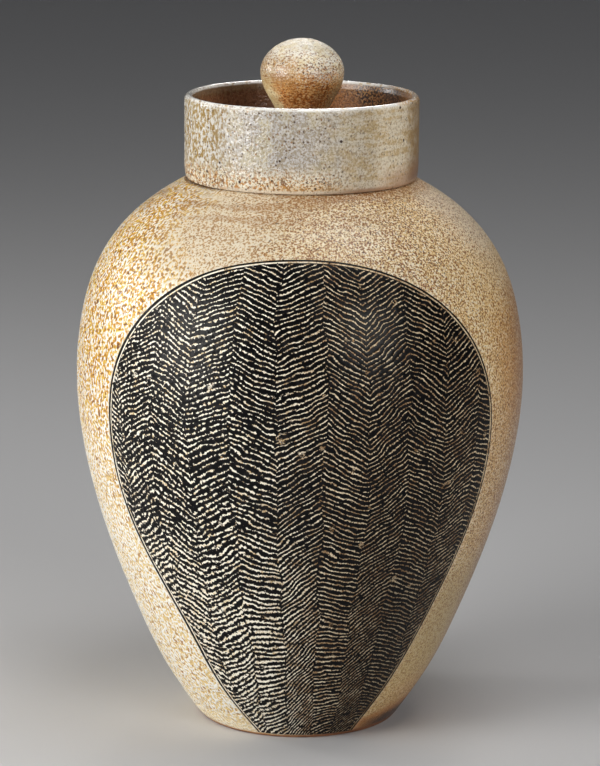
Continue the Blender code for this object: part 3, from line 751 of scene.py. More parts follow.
def look_collar(g):
    n = peel_noise(g)
    w = windward(g)
    z, side = g.z, g.side
    fine = g.noise(0.8, 1.5, 0.5, seed=53)
    mottle = g.noise(6.0, 2.0, 0.55, seed=54)
    broad = g.noise(20.0, 2.0, 0.55, seed=55)
    streaky = g.noise(1.8, 1.0, 0.45, warp=0.25, seed=51, stretch=(1.0, 1.0, 0.72))
    outside = g.ramp(g.rho, 60.9, 61.6)

    # centre: grey-white with an olive network; right: beige with drawn bands
    grain = g.noise(0.95, 1.5, 0.55, seed=59)
    web = g.noise(1.25, 1.5, 0.55, seed=60)
    olive = g.ramp(broad + (mottle - 0.5) * 0.6, 0.44, 0.64)
    grey = g.tint((194, 187, 180), (214, 202, 168), olive * 0.75)
    grey = g.tint(grey, (160, 140, 98), g.ramp(web + (olive - 0.5) * 0.06 + (grain - 0.5) * 0.5, 0.49, 0.40) * 0.54)
    grey = g.tint(grey, (230, 227, 224), g.ramp(web + (grain - 0.5) * 0.8, 0.53, 0.62) * 0.58)
    band = g.noise(3.6, 2.0, 0.55, seed=56, stretch=(0.06, 0.06, 1.0))
    beige = g.tint((236, 222, 196), (214, 186, 136), g.ramp(band + (mottle - 0.5) * 0.7, 0.44, 0.62) * 0.90)
    beige = g.tint(beige, (180, 150, 106), g.ramp(web + (grain - 0.5) * 0.5, 0.46, 0.38) * 0.55)
    beige = g.tint(beige, (246, 237, 220), g.ramp(web + (grain - 0.5) * 0.5, 0.54, 0.64) * 0.55)
    right = g.ramp(side + (mottle - 0.5) * 0.5 + (web - 0.5) * 0.5, -0.02, 0.62)
    base = g.tint(grey, beige, right)
    base = g.tint(base, (166, 124, 58), g.ramp(side + (mottle - 0.5) * 0.20, 0.84, 0.99) * 0.90)
    base = g.tint(base, (190, 148, 112), g.ramp(z + (mottle - 0.5) * 8.0, 320.0, 307.0) * g.ramp(side, 0.55, 0.85) * 0.75)
    base = g.tint(base, (140, 92, 54), g.ramp(z + (mottle - 0.5) * 8.0, 321.0, 309.0) * g.ramp(side, 0.84, 0.98) * 0.70)
    # left: white runs on olive ochre
    left = g.ramp(side + (mottle - 0.5) * 0.4, -0.38, -0.80)
    runs = g.tint((164, 132, 64), (200, 186, 156), g.ramp(streaky + (fine - 0.5) * 0.3, 0.40, 0.49))
    runs = g.tint(runs, (230, 226, 218), g.ramp(streaky + (fine - 0.5) * 0.3, 0.51, 0.58))
    base = g.tint(base, runs, left * 0.92)
    # rust speckle along the lower edge, strongest left of the middle
    low = g.ramp(z + (mottle - 0.5) * 9.0, 321.0, 308.0) * g.ramp(side, 0.60, 0.05)
    rust = g.ramp(n + (fine - 0.5) * 0.15, 0.470, 0.420)
    base = g.tint(base, (252, 239, 203), low * 0.72)
    base = g.tint(base, (252, 248, 240), g.ramp(n, 0.55, 0.62) * low * 0.55)
    base = g.tint(base, (196, 130, 38), rust * low * 0.88)
    base = g.tint(base, (120, 70, 24), g.ramp(web + (fine - 0.5) * 0.1, 0.45, 0.40) * low * 0.90)
    base = g.tint(base, (206, 152, 66), g.ramp(z + (mottle - 0.5) * 4.0, 311.0, 307.0) * g.ramp(side, 0.62, 0.15)
                  * g.ramp(side, -0.55, -0.15) * 0.4)
    # heel: brown on the collar's lower rounded edge to the right, partly flashing and partly painted shade in the join
    # with the shoulder
    heel_brown_and_shade = g.ramp(z + (mottle - 0.5) * 1.6, 307.2, 305.4) * g.ramp(side, 0.10, 0.50)
    # painted highlight: a pale line along the collar's lower rounded edge, from left of the middle rightwards
    base = g.tint(base, (236, 222, 200), g.ramp(z, 306.8, 305.6) * g.ramp(side, -0.9, -0.5) * 0.8)
    base = g.tint(base, (176, 128, 88), heel_brown_and_shade * 0.75)
    # specks: small brown and orange ones, and a few black pits
    dist, rnd = g.cells(2.3, seed=2)
    speck = g.ramp(dist + (fine - 0.5) * 0.10, 0.31, 0.20) * g.ramp(rnd, 0.42, 0.48)
    base = g.tint(base, g.tint((78, 52, 28), (150, 106, 50), g.ramp(rnd, 0.74, 0.78)),
                  speck * 0.86 * outside * g.lerp(right, 1.0, 0.62))
    dust, rnd4 = g.cells(1.15, seed=8)
    base = g.tint(base, (120, 88, 48), g.ramp(dust, 0.40, 0.24) * g.ramp(rnd4, 0.54, 0.64) * 0.66 * outside * g.lerp(right, 1.0, 0.6))
    dist2, rnd2 = g.cells(8.0, seed=3)
    base = g.tint(base, (62, 38, 20), g.ramp(dist2, 0.120, 0.080) * g.ramp(rnd2, 0.35, 0.37) * outside)
    # inside: chocolate to red-brown, with dark pits near the rim
    brown = g.tint((146, 102, 74), (178, 116, 56), g.ramp(side, -0.5, 0.6))
    brown = g.tint(brown, (64, 40, 26), g.ramp(n + (fine - 0.5) * 0.2, 0.46, 0.38) * g.ramp(side, 0.1, 0.6, 0.35, 0.9))
    brown = g.tint(brown, (172, 130, 96), g.ramp(n, 0.56, 0.66) * g.ramp(side, -0.2, 0.5, 0.15, 0.6))
    under = g.ramp(z + (mottle - 0.5) * 4.0 + (n - 0.5) * 8.0, 342.5, 346.5)
    brown = g.tint(brown, g.tint((132, 110, 80), (176, 128, 78), g.ramp(side, -0.2, 0.6)), under * 0.7)
    brown = g.tint(brown, (96, 62, 42), g.ramp(grain, 0.48, 0.40) * g.ramp(side, -0.4, 0.4, 0.2, 0.6))
    brown = g.tint(brown, (204, 154, 104), g.ramp(grain + (web - 0.5) * 0.5, 0.55, 0.64) * g.ramp(side, -0.2, 0.5, 0.1, 0.45))
    burnt = g.ramp(side + (mottle - 0.5) * 0.2, 0.42, 0.60) * g.ramp(side, 0.98, 0.88) * g.ramp(z, 334.0, 339.0)
    brown = g.tint(brown, (34, 20, 12), burnt * g.ramp(web + (fine - 0.5) * 0.2, 0.53, 0.46) * 0.9)
    brown = g.tint(brown, (200, 158, 98), burnt * g.ramp(web, 0.57, 0.64) * 0.7)
    base = g.tint(brown, base, outside)
    # pale lip, partly glaze colour and partly painted highlight, with a worn brown edge
    lip = g.ramp(z + (mottle - 0.5) * 0.8, 347.8, 349.2)
    lip_color_and_highlight = g.tint((255, 253, 247), (226, 204, 168), g.ramp(g.noise(3.0, 1.5, 0.5, seed=57), 0.56, 0.72))
    lip_color_and_highlight = g.tint(lip_color_and_highlight, (216, 158, 74), g.ramp(side, 0.74, 0.93) * g.ramp(web, 0.58, 0.49) * 0.85)
    lip_color_and_highlight = g.tint(lip_color_and_highlight, (186, 150, 126), g.ramp(g.rho, 62.2, 62.9) * g.ramp(side, -0.10, -0.50) * g.ramp(g.theta().abs(), 80.0, 105.0) * 0.7)
    base = g.tint(base, lip_color_and_highlight, lip * 0.95)
    worn = g.ramp((z - 349.2).abs(), 0.55, 0.15) * g.ramp(g.noise(2.2, 1.5, 0.6, seed=58), 0.52, 0.62)
    base = g.tint(base, (138, 92, 54), worn * g.ramp(side, 0.4, -0.4, 0.10, 0.6))
    # painted light and shade over a fine random tone: a lighter lip and far left, a darker band right of the middle and
    # a painted highlight band near the right edge, a darker strip left of the middle below the lip, and small steps
    # along the lower band
    base = g.scale_color(base, 0.86 + (fine - 0.5) * 0.22 + lip * 0.12 + g.ramp(side, -0.66, -0.88) * 0.08
                         - g.ramp(side, 0.12, 0.30) * g.ramp(side, 0.68, 0.52) * 0.07
                         - g.ramp(side, -0.92, -0.76) * g.ramp(side, 0.0, -0.2) * g.ramp(lip, 0.5, 0.0) * 0.07
                         + g.ramp(side, 0.56, 0.70) * g.ramp(side, 0.95, 0.86) * 0.20 * outside
                         + g.ramp(z, 322.0, 314.0) * g.ramp(side, 0.35, 0.0) * g.ramp(side, -0.75, -0.30) * 0.09
                         - g.ramp(z, 322.0, 314.0) * g.ramp(side, -0.25, -0.60) * 0.05
                         + g.ramp(z, 322.0, 314.0) * g.ramp(side, 0.15, 0.35) * g.ramp(side, 0.95, 0.80) * 0.05)

    rough = g.lerp(w, 0.32, 0.20) + (mottle - 0.5) * 0.14 * g.lerp(lip, 1.0, 0.3) - lip * 0.14 + heel_brown_and_shade * 0.25
    bump = g.ramp(n, 0.36, 0.62) * g.lerp(w, 0.03, 0.08) + fine * 0.016 \
        + g.ramp(web, 0.40, 0.62) * g.lerp(right, 0.07, 0.03) * g.lerp(left, 1.0, 0.4) + grain * 0.03
    return dict(color=base, rough=rough, bump=bump * g.lerp(lip, 1.0, 0.4), coat=g.lerp(lip, 0.3, 1.0) - heel_brown_and_shade * 0.3, coat_rough=0.08)


def look_knob(g):
    n = g.noise(0.92, 1.4, 0.50, seed=61)
    z, side = g.z, g.side
    fine = g.noise(0.7, 1.5, 0.5, seed=62)
    mottle = g.noise(4.5, 2.0, 0.55, seed=63)
    dash = g.noise(0.80, 1.5, 0.55, seed=68, stretch=(0.55, 0.55, 1.0))
    # top: smooth greyish cream, flecked towards the widest place
    cream = g.tint((250, 243, 227), (240, 226, 192), g.ramp(mottle, 0.42, 0.62))
    flecked = g.ramp(z + (mottle - 0.5) * 6.0, 378.0, 371.0, 0.30, 1.0)
    cream = g.tint(cream, (188, 138, 74), g.ramp(n, 0.45, 0.37) * flecked * 0.80)
    cream = g.tint(cream, (250, 244, 228), g.ramp(n, 0.55, 0.64) * 0.6)
    cream = g.tint(cream, (126, 78, 36), g.ramp(dash, 0.43, 0.37) * flecked * 0.85)
    # below the widest place: orange brown, drawn in fine level flecks
    rust = g.tint((216, 152, 86), (188, 118, 56), g.ramp(mottle + g.ramp(z, 360.0, 344.0) * 0.12 - 0.04, 0.42, 0.62))
    rust = g.tint(rust, (242, 204, 144), g.ramp(dash, 0.54, 0.62) * 0.66)
    rust = g.tint(rust, (122, 66, 28), g.ramp(dash, 0.46, 0.38) * 0.80)
    rust = g.tint(rust, (248, 226, 182), g.ramp(n, 0.59, 0.67) * g.ramp(z, 350.0, 362.0, 0.25, 0.7))
    pale = g.tint((234, 216, 170), (216, 190, 136), g.ramp(mottle, 0.42, 0.62))
    pale = g.tint(pale, (176, 128, 66), g.ramp(dash, 0.42, 0.36) * 0.55)
    low = g.ramp(z + (mottle - 0.5) * 9.0 + (n - 0.5) * 18.0, 368.0, 357.0)
    edge = g.ramp(z, 372.0, 340.0, 0.0, 0.08)
    middle = g.ramp(side + (mottle - 0.5) * 0.25 + (n - 0.5) * 0.5 - edge, -0.86, -0.64) \
        * g.ramp(side + (mottle - 0.5) * 0.4 + (n - 0.5) * 0.8, 0.95, 0.62, 0.45, 1.0)
    base = g.tint(cream, g.tint(pale, rust, middle), low)
    base = g.tint(base, (196, 148, 84), g.ramp(side + (mottle - 0.5) * 0.5, 0.20, -0.30) * g.ramp(z + (mottle - 0.5) * 5.0, 373.0, 368.5)
                  * g.ramp(z, 352.0, 360.0) * g.ramp(dash + (n - 0.5) * 0.3, 0.56, 0.44, 0.25, 0.70))
    # white-grey patch: partly salt, partly a painted reflection
    salt_and_glint_patch = g.blob(36.0, 18.0, 363.0, 2.0, 9.0, 2.0, size=4.0, seed=64)
    base = g.tint(base, (218, 210, 200), salt_and_glint_patch * g.ramp(n, 0.44, 0.52) * 0.75)
    # dark specks, thickest round the widest place
    dist, rnd = g.cells(1.6, seed=4)
    belt = g.ramp((z - 365.5 + (mottle - 0.5) * 6.0).abs(), 5.5, 1.5)
    speck = g.ramp(dist + (fine - 0.5) * 0.25, g.lerp(belt, 0.32, 0.42), g.lerp(belt, 0.18, 0.24)) * g.ramp(rnd, g.lerp(belt, 0.66, 0.46), g.lerp(belt, 0.74, 0.56))
    base = g.tint(base, g.tint((126, 76, 36), (90, 54, 28), belt), speck * 0.85)
    # lines left by the trimming tool
    lines = g.noise(1.4, 1.5, 0.6, seed=65, stretch=(0.08, 0.08, 1.0))
    base = g.tint(base, (168, 110, 56), g.ramp(lines, 0.54, 0.64) * g.ramp((z - 361.0).abs(), 10.0, 4.0) * 0.40)
    crown = g.ramp(z, 373.0, 378.0)
    # painted light and shade over a fine random tone: the lower left lighter and the lower right darker, the left side
    # darker and the right side lighter round the widest place, and the top a little darker
    base = g.scale_color(base, 0.95 + (fine - 0.5) * 0.26 - crown * 0.05 + g.ramp(side, -0.25, -0.50) * g.ramp(z, 358.0, 350.0) * 0.30
                         - g.ramp(side, 0.15, 0.50) * g.ramp(z, 358.0, 350.0) * 0.32
                         - g.ramp(side, -0.20, -0.50) * g.ramp(z, 356.0, 361.0) * g.ramp(z, 375.0, 370.0) * 0.18
                         + g.ramp(side, 0.35, 0.60) * g.ramp(z, 357.0, 361.0) * g.ramp(z, 375.0, 370.0) * 0.10)
    rough = 0.28 + (mottle - 0.5) * 0.16 + g.ramp(n, 0.42, 0.34) * 0.16 + crown * 0.26
    bump = g.ramp(n, 0.36, 0.62) * 0.05 + fine * 0.014 + lines * 0.02
    return dict(color=base, rough=rough, bump=bump, coat=0.3 - crown * 0.3, coat_rough=0.08)


def knob_relief(g):
    n = g.noise(0.92, 1.4, 0.50, seed=61)
    rings = g.math('SINE', g.z * 2.3 + (g.noise(20.0, 1.0, seed=66) - 0.5) * 2.0) * 0.02 + 0.02
    return g.ramp(n, 0.38, 0.62) * 0.07 + rings


def look_lid(g):
    n = peel_noise(g)
    fine = g.noise(0.8, 1.5, 0.5, seed=71)
    mottle = g.noise(6.0, 2.0, 0.55, seed=72)
    top = g.ramp(g.z, 322.5, 323.4)
    base = g.tint((112, 74, 50), (86, 56, 42), g.ramp(mottle, 0.40, 0.62))
    base = g.tint(base, (150, 108, 72), g.ramp(g.rho + (mottle - 0.5) * 14.0, 24.0, 15.0) * 0.7)
    base = g.tint(base, (56, 36, 26), g.ramp(n + (fine - 0.5) * 0.2, 0.45, 0.37) * 0.8)
    base = g.tint(base, (168, 126, 88), g.ramp(n, 0.60, 0.70) * 0.4)
    wheel = g.noise(1.6, 2.0, 0.6, seed=73)
    seat = g.tint((176, 132, 88), (150, 104, 66), g.ramp(wheel + (mottle - 0.5) * 0.5, 0.44, 0.60))
    base = g.tint(seat, base, top)
    base = g.scale_color(base, 0.95 + (fine - 0.5) * 0.24)
    rough = g.lerp(top, 0.72, 0.38) + (mottle - 0.5) * 0.14
    bump = g.ramp(n, 0.36, 0.62) * 0.04 + fine * 0.02
    return dict(color=base, rough=rough, bump=bump, coat=0.15, coat_rough=0.12)


def look_inside(g):
    """Liner glaze of the jar."""
    mottle = g.noise(9.0, 2.0, 0.55, seed=81)
    fine = g.noise(0.9, 1.5, 0.5, seed=82)
    n = g.noise(1.6, 1.5, 0.5, seed=83)
    base = g.tint((150, 104, 68), (112, 74, 50), g.ramp(mottle, 0.40, 0.62))
    pool = g.ramp(g.z + (mottle - 0.5) * 10.0, 30.0, 14.0)
    base = g.tint(base, (92, 60, 42), pool * 0.6)
    base = g.tint(base, (70, 44, 30), g.ramp(n + (fine - 0.5) * 0.2, 0.42, 0.34) * 0.7)
    base = g.tint(base, (184, 142, 98), g.ramp(n, 0.62, 0.72) * 0.4)
    base = g.scale_color(base, 0.95 + (fine - 0.5) * 0.2)
    rough = 0.34 + (mottle - 0.5) * 0.14
    return dict(color=base, rough=rough, bump=fine * 0.02 + n * 0.03, coat=0.2, coat_rough=0.10)


def look_foot(g):
    """Bare clay, toasted by the firing."""
    mottle = g.noise(8.0, 2.0, 0.6, seed=91)
    fine = g.noise(0.6, 2.0, 0.6, seed=92)
    grit, rnd = g.cells(2.2, seed=5)
    base = g.tint((166, 112, 70), (132, 82, 48), g.ramp(mottle, 0.42, 0.62))
    base = g.tint(base, (196, 160, 118), g.ramp(g.rho, 46.0, 36.0) * g.ramp(mottle, 0.35, 0.65) * 0.6)
    base = g.tint(base, (88, 58, 38), g.ramp(grit, 0.22, 0.12) * g.ramp(rnd, 0.6, 0.65) * 0.8)
    base = g.scale_color(base, 0.93 + (fine - 0.5) * 0.4)
    rough = 0.74 + (mottle - 0.5) * 0.16
    bump = fine * 0.05 + g.ramp(grit, 0.3, 0.1) * 0.04
    return dict(color=base, rough=rough, bump=bump)


# --------------------------------------------------------------------------
# Panel outline
# --------------------------------------------------------------------------
def outline_curve():
    """Dense points (arc, theta) of the outline, from the left foot over the top."""
    pts = np.array(PANEL_OUTLINE)
    flat = pts * [1.0, 2.0]
    t = np.concatenate([[0.0], np.cumsum(np.hypot(*np.diff(flat, axis=0).T))])
    fs = natural_spline(list(zip(t, pts[:, 0])))
    ft = natural_spline(list(zip(t, pts[:, 1])))
    q = np.linspace(0.0, t[-1], 1400)
    return fs(q)[0], ft(q)[0]


OUT_S, OUT_T = outline_curve()
TOP_I = int(np.argmax(OUT_S))
PANEL_TOP = float(OUT_S[TOP_I])
LEFT = (OUT_S[:TOP_I + 1], OUT_T[:TOP_I + 1])
RIGHT = (OUT_S[TOP_I:][::-1], OUT_T[TOP_I:][::-1])


def panel_sides(s):
    """Theta of the left and right edge at an arc height."""
    return np.interp(s, *LEFT), np.interp(s, *RIGHT)


def panel_distance(s, theta, r):
    """Millimetres inside the outline (negative outside), exact near it."""
    left, right = panel_sides(np.minimum(s, PANEL_TOP))
    rough = np.minimum(theta - left, right - theta) * math.pi / 180.0 * r
    rough = np.where(s > PANEL_TOP, -np.maximum(s - PANEL_TOP, 0.01), rough)
    rough = np.where(np.abs(theta) > 70.0, -30.0, rough)
    inside = (rough > 0) & (s < PANEL_TOP)
    out = np.clip(np.where(inside, np.abs(rough), -np.abs(rough)), -12.0, 12.0)
    close = (np.abs(rough) < 26.0) & (np.abs(theta) < 100.0) | (np.abs(s - PANEL_TOP) < 12.0) & (np.abs(theta) < 60.0)
    idx = np.nonzero(close)[0]
    for part in np.array_split(idx, max(1, len(idx) // 20000)):
        ds = s[part][:, None] - OUT_S[None, :]
        dt = (theta[part][:, None] - OUT_T[None, :]) * (math.pi / 180.0) * r[part][:, None]
        d2 = ds * ds + dt * dt
        i = np.clip(np.argmin(d2, 1), 1, len(OUT_S) - 2)
        best = np.sqrt(d2[np.arange(len(part)), i])
        for a, b in ((i - 1, i), (i, i + 1)):
            k = math.pi / 180.0 * r[part]
            ax, ay = OUT_S[a] - s[part], (OUT_T[a] - theta[part]) * k
            bx, by = OUT_S[b] - s[part], (OUT_T[b] - theta[part]) * k
            ex, ey = bx - ax, by - ay
            u = np.clip(-(ax * ex + ay * ey) / np.maximum(ex * ex + ey * ey, 1e-12), 0.0, 1.0)
            best = np.minimum(best, np.hypot(ax + u * ex, ay + u * ey))
        out[part] = np.clip(np.where(inside[part], best, -best), -12.0, 12.0)
    return out


# --------------------------------------------------------------------------
# Columns round the pot: close together where the peel is coarse
# --------------------------------------------------------------------------
def body_columns():
    fine, wide = ((0.70, 1.40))
    th = np.radians(np.linspace(-180.0, 180.0, 3601))
    deg = np.degrees(th)
    coarse_peel = smoothstep(deg, -165.0, -140.0) * (1.0 - smoothstep(deg, 5.0, 30.0))
    step = wide + (fine - wide) * coarse_peel
    density = 124.0 / step
    total = np.concatenate([[0.0], np.cumsum(0.5 * (density[1:] + density[:-1]) * np.diff(th))])
    n = int(round(total[-1] / 8.0)) * 8
    return np.interp(np.arange(n) * total[-1] / n, total, th)


BODY_COLS = body_columns()
BODY_COARSE = BODY_COLS[::4]


def inner_wall(z):
    r, slope = WALL(z)
    length = np.hypot(1.0, slope)
    t = 8.0 + (6.5 - 8.0) * np.clip(z / 304.0, 0.0, 1.0)
    return r - t / length, z + t * slope / length


def build_body():
    lathe = Lathe()
    # recess and standing ring
    foot = [(0.0, 5.6), (41.0, 5.0), (43.9, 3.8), (45.5, 0.0), (47.5, 0.0)]
    foot = refine(round_corners(foot, 1.2), 2.2)
    for r, z in foot:
        lathe.ring(r, z, BODY_COARSE, slot=1, v=0.05 * (r / 48.0))
    lathe.ring(54.2, 0.0, BODY_COLS, slot=1, v=0.055)
    bevel = [(55.0, 0.0), (55.8, 0.3), (56.35, 1.0)]
    for i, (r, z) in enumerate(bevel):
        lathe.ring(r, z, BODY_COLS, slot=1, v=0.057 + 0.002 * i)
    # outer wall
    step = 0.70
    s = np.linspace(float(arc_at_z(1.8)), ARC_TOTAL - 0.6, int(ARC_TOTAL / step))
    for q in s:
        z = float(z_at_arc(q))
        r, slope = WALL(z)
        length = math.hypot(1.0, slope)
        lathe.ring(float(r - GLAZE_ROOM / length), z + GLAZE_ROOM * slope / length,
                   BODY_COLS, slot=0, v=0.065 + 0.785 * q / ARC_TOTAL)
    lathe.ring(61.9, 304.0, BODY_COLS, slot=0, v=0.855)
    lathe.ring(58.2, 304.0, BODY_COARSE, slot=2, v=0.86)
    # inside: mouth, wall with throwing rings, cove, floor
    zs = np.interp(np.linspace(0, 1, 14), np.linspace(0, 1, 400),
                   np.interp(np.linspace(arc_at_z(24.6), arc_at_z(299.0), 400), _arc, _z))
    wall = [tuple(float(v) for v in inner_wall(z)) for z in zs]
    wall = [p for p in wall if p[0] > 57.0]
    (rc, zc), (rd, zd) = wall[0], wall[1]
    knee = rc - (zc - 13.5) * (rd - rc) / (zd - zc)
    cove = []
    for k in range(12):
        t = k / 12.0
        cove.append(((1 - t) ** 2 * (rc - 24.0) + 2 * t * (1 - t) * knee + t * t * rc,
                     (1 - t * t) * 13.5 + t * t * zc))
    inner = [(55.0, 304.0), (55.0, 301.5), (55.8, 298.5)] + wall[::-1] + cove[::-1] + [(0.0, 13.9)]
    inner = smooth_polyline(inner, 2.6)
    total = polyline_length(inner)
    run = 0.0
    for i, (r, z) in enumerate(inner):
        if i:
            run += math.dist(inner[i - 1], inner[i])
        # the fingers leave rings
        ripple = 0.28 * math.sin(run * 0.62 + 1.1 * math.sin(run * 0.05)) if 18.0 < run < total - 30.0 else 0.0
        lathe.ring(max(r - 0.3 + ripple, 0.0) if r > 1.0 else 0.0, z, BODY_COARSE, slot=2,
                   v=0.865 + 0.135 * run / total)
    obj = lathe.build("jar_glazed_body", uv_u=lambda u: u)
    co = coords(obj)
    rho = np.hypot(co[:, 0], co[:, 1])
    theta = np.degrees(np.arctan2(co[:, 0], -co[:, 1]))
    s = arc_at_z(np.clip(co[:, 2], 0, 304))
    wall_r = WALL(np.clip(co[:, 2], 0, 304))[0]
    outer = (rho > wall_r - 1.4) & (co[:, 2] > 1.2)
    d = np.full(len(co), -12.0)
    d[outer] = panel_distance(s[outer], theta[outer], rho[outer])
    set_attribute(obj, "arc", s)
    set_attribute(obj, "panel_d", d)
    h = sample(obj, relief=body_relief)["relief"]
    nor = normals(obj)
    fade = smoothstep(co[:, 2], 1.2, 4.0) * (1.0 - smoothstep(co[:, 2], 302.6, 303.6))
    near_panel = smoothstep(np.abs(d + 0.6), 0.5, 2.2)
    h = h * (0.35 + 0.65 * near_panel)
    # the glaze draws up to a small bead along the panel, and the wall sinks under it
    h = np.maximum(h, 0.16 * (1.0 - smoothstep(np.abs(d + 0.5), 0.3, 1.1)))
    h = h * fade - 0.62 * smoothstep(d, 0.35, 1.9) * (co[:, 2] > PANEL_FOOT_ARC)
    h = np.where(outer, h, 0.0)
    co = co + nor * h[:, None]
    keep_in(co)
    set_coords(obj, co)
    return obj


def keep_in(co, top=380.0):
    """Holds a surface inside the fired size."""
    r = np.hypot(co[:, 0], co[:, 1])
    over = r > MAX_R
    co[over, :2] *= (MAX_R / r[over])[:, None]
    co[:, 2] = np.clip(co[:, 2], 0.0, top)


def polyline_length(points):
    return sum(math.dist(a, b) for a, b in zip(points[:-1], points[1:]))


def smooth_polyline(points, step):
    """Evenly spaced points on a gently rounded polyline."""
    pts = round_corners(points, 6.0, 3)
    pts = np.array(pts)
    keep = np.concatenate([[True], np.hypot(*np.diff(pts, axis=0).T) > 1e-4])
    pts = pts[keep]
    t = np.concatenate([[0.0], np.cumsum(np.hypot(*np.diff(pts, axis=0).T))])
    q = np.linspace(0.0, t[-1], int(t[-1] / step) + 1)
    return [tuple(p) for p in np.stack([np.interp(q, t, pts[:, 0]), np.interp(q, t, pts[:, 1])], -1)]


def build_panel():
    """The slip coat: a thin slab let into the wall, cut with lines."""
    across, up = ((520, 0.54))
    # rows: evenly spaced, then closer and closer to the flat top of the outline
    curve = 96.0
    k = np.arange(1, 400)
    near_top = PANEL_TOP - (k * 0.9) ** 2 / (2.0 * curve)
    near_top = near_top[near_top > PANEL_TOP - 9.0]
    body = np.arange(near_top[-1] - up, PANEL_FOOT_ARC, -up)
    rows = np.concatenate([near_top, body, [PANEL_FOOT_ARC]])[::-1]
    left, right = panel_sides(rows)
    t = np.linspace(0.0, 1.0, across + 1)
    theta = left[:, None] + (right - left)[:, None] * t[None, :]
    s = np.repeat(rows[:, None], across + 1, 1)
    nr, nc = theta.shape
    z = z_at_arc(s)
    r, slope = WALL(z)
    length = np.hypot(1.0, slope)

    def surface(depth):
        rr = r - depth / length
        zz = z + depth * slope / length
        a = np.radians(theta)
        return np.stack([rr * np.sin(a), -rr * np.cos(a), zz], -1).reshape(-1, 3)

    top = surface(0.07)
    back_rows = np.unique(np.concatenate([np.arange(0, nr, 6), [nr - 1]]))
    grid = np.arange(nr * nc).reshape(nr, nc)
    quads = np.stack([grid[:-1, :-1], grid[:-1, 1:], grid[1:, 1:], grid[1:, :-1]], -1).reshape(-1, 4)
    # skirt round the edge, then one sunk back sheet
    loop = np.concatenate([grid[0, :], grid[1:, -1], grid[-1, -2::-1], grid[-2:0:-1, 0]])
    deep = surface(0.95)
    n0 = len(top)
    skirt_co = deep[loop]
    m = len(loop)
    j = np.arange(m)
    skirt = np.stack([loop[j], n0 + j, n0 + (j + 1) % m, loop[(j + 1) % m]], -1)
    # back: the same grid, sunk; its rim is the skirt's lower edge
    back_of = np.full(nr * nc, -1)
    back_of[loop] = n0 + j
    inner = np.setdiff1d(np.arange(nr * nc), loop)
    back_of[inner] = n0 + m + np.arange(len(inner))
    back = back_of[quads][:, ::-1]
    co = np.concatenate([top, skirt_co, deep[inner]])
    loops = np.concatenate([quads.ravel(), skirt.ravel(), back.ravel()])
    sizes = np.full(len(quads) * 2 + m, 4)
    u = (theta.ravel() + 60.0) / 120.0
    v = (s.ravel() + 2.0) / 302.0
    uv_top = np.stack([u, v * 0.985 + 0.012], -1)[quads.ravel()]
    uv_skirt = np.stack([np.stack([j / m, j / m, (j + 1) / m, (j + 1) / m], -1).ravel(),
                         np.tile([0.008, 0.001, 0.001, 0.008], m)], -1)
    uv_back = np.stack([u, 0.002 + 0.004 * v], -1)[quads[:, ::-1].ravel()]
    obj = make_mesh("slip_panel", co, loops, sizes, np.zeros(len(sizes)),
                    np.concatenate([uv_top, uv_skirt, uv_back]))
    # attributes
    r_all = np.hypot(co[:, 0], co[:, 1])
    th_all = np.degrees(np.arctan2(co[:, 0], -co[:, 1]))
    s_all = np.concatenate([s.ravel(), s.ravel()[loop], s.ravel()[inner]])
    d = panel_distance(s_all, th_all, r_all)
    d = np.maximum(d, 0.0)
    rim = np.zeros(len(co), bool)
    rim[loop] = True
    d[rim] = 0.0
    is_top = np.arange(len(co)) < n0
    set_attribute(obj, "arc", s_all)
    set_attribute(obj, "panel_d", np.where(is_top, d, -1.0))
    f = sample(obj, cut=lambda g: panel_cuts(g)[0], peel=body_relief)
    nor = normals(obj)
    h = -LINE_DEPTH * f["cut"] * smoothstep(d, 0.3, 0.9) - 0.10 + 0.5 * np.clip(f["peel"], 0, 0.2)
    # rounded edge
    h = h * smoothstep(d, 0.0, 0.5) - 0.16 * (1.0 - smoothstep(d, 0.0, 0.55))
    h = np.where(is_top, h, 0.0)
    # push along the wall's own normal
    zc = np.clip(z_at_arc(s_all), 0, 304)
    sl = WALL(zc)[1]
    ln = np.hypot(1.0, sl)
    a = np.radians(th_all)
    wall_n = np.stack([np.sin(a) / ln, -np.cos(a) / ln, -sl / ln], -1)
    co = co + wall_n * h[:, None]
    keep_in(co)
    set_coords(obj, co)
    return obj


def even_columns(r, step):
    n = int(round(2 * math.pi * r / step / 4)) * 4
    return np.radians(np.arange(n) * 360.0 / n - 180.0)


def build_ring_piece(name, outline, cols_step, r_ref, step_of, relief, limit_top):
    """A closed turned form from a loop of (radius, height) corners."""
    pts = outline
    cols = even_columns(r_ref, cols_step)
    lathe = Lathe()
    total = polyline_length(pts + [pts[0]])
    dense = []
    for p, q in zip(pts, pts[1:] + [pts[0]]):
        step = step_of(p, q)
        n = max(1, int(math.ceil(math.dist(p, q) / step)))
        dense += [tuple(np.array(p) + (np.array(q) - np.array(p)) * k / n) for k in range(n)]
    run = 0.0
    for i, (r, z) in enumerate(dense):
        if i:
            run += math.dist(dense[i - 1], dense[i])
        lathe.ring(r, z, cols, v=run / total)
    obj = lathe.build(name, closed=True)
    h = sample(obj, relief=relief)["relief"]
    co = coords(obj) + normals(obj) * h[:, None]
    keep_in(co, limit_top)
    set_coords(obj, co)
    return obj


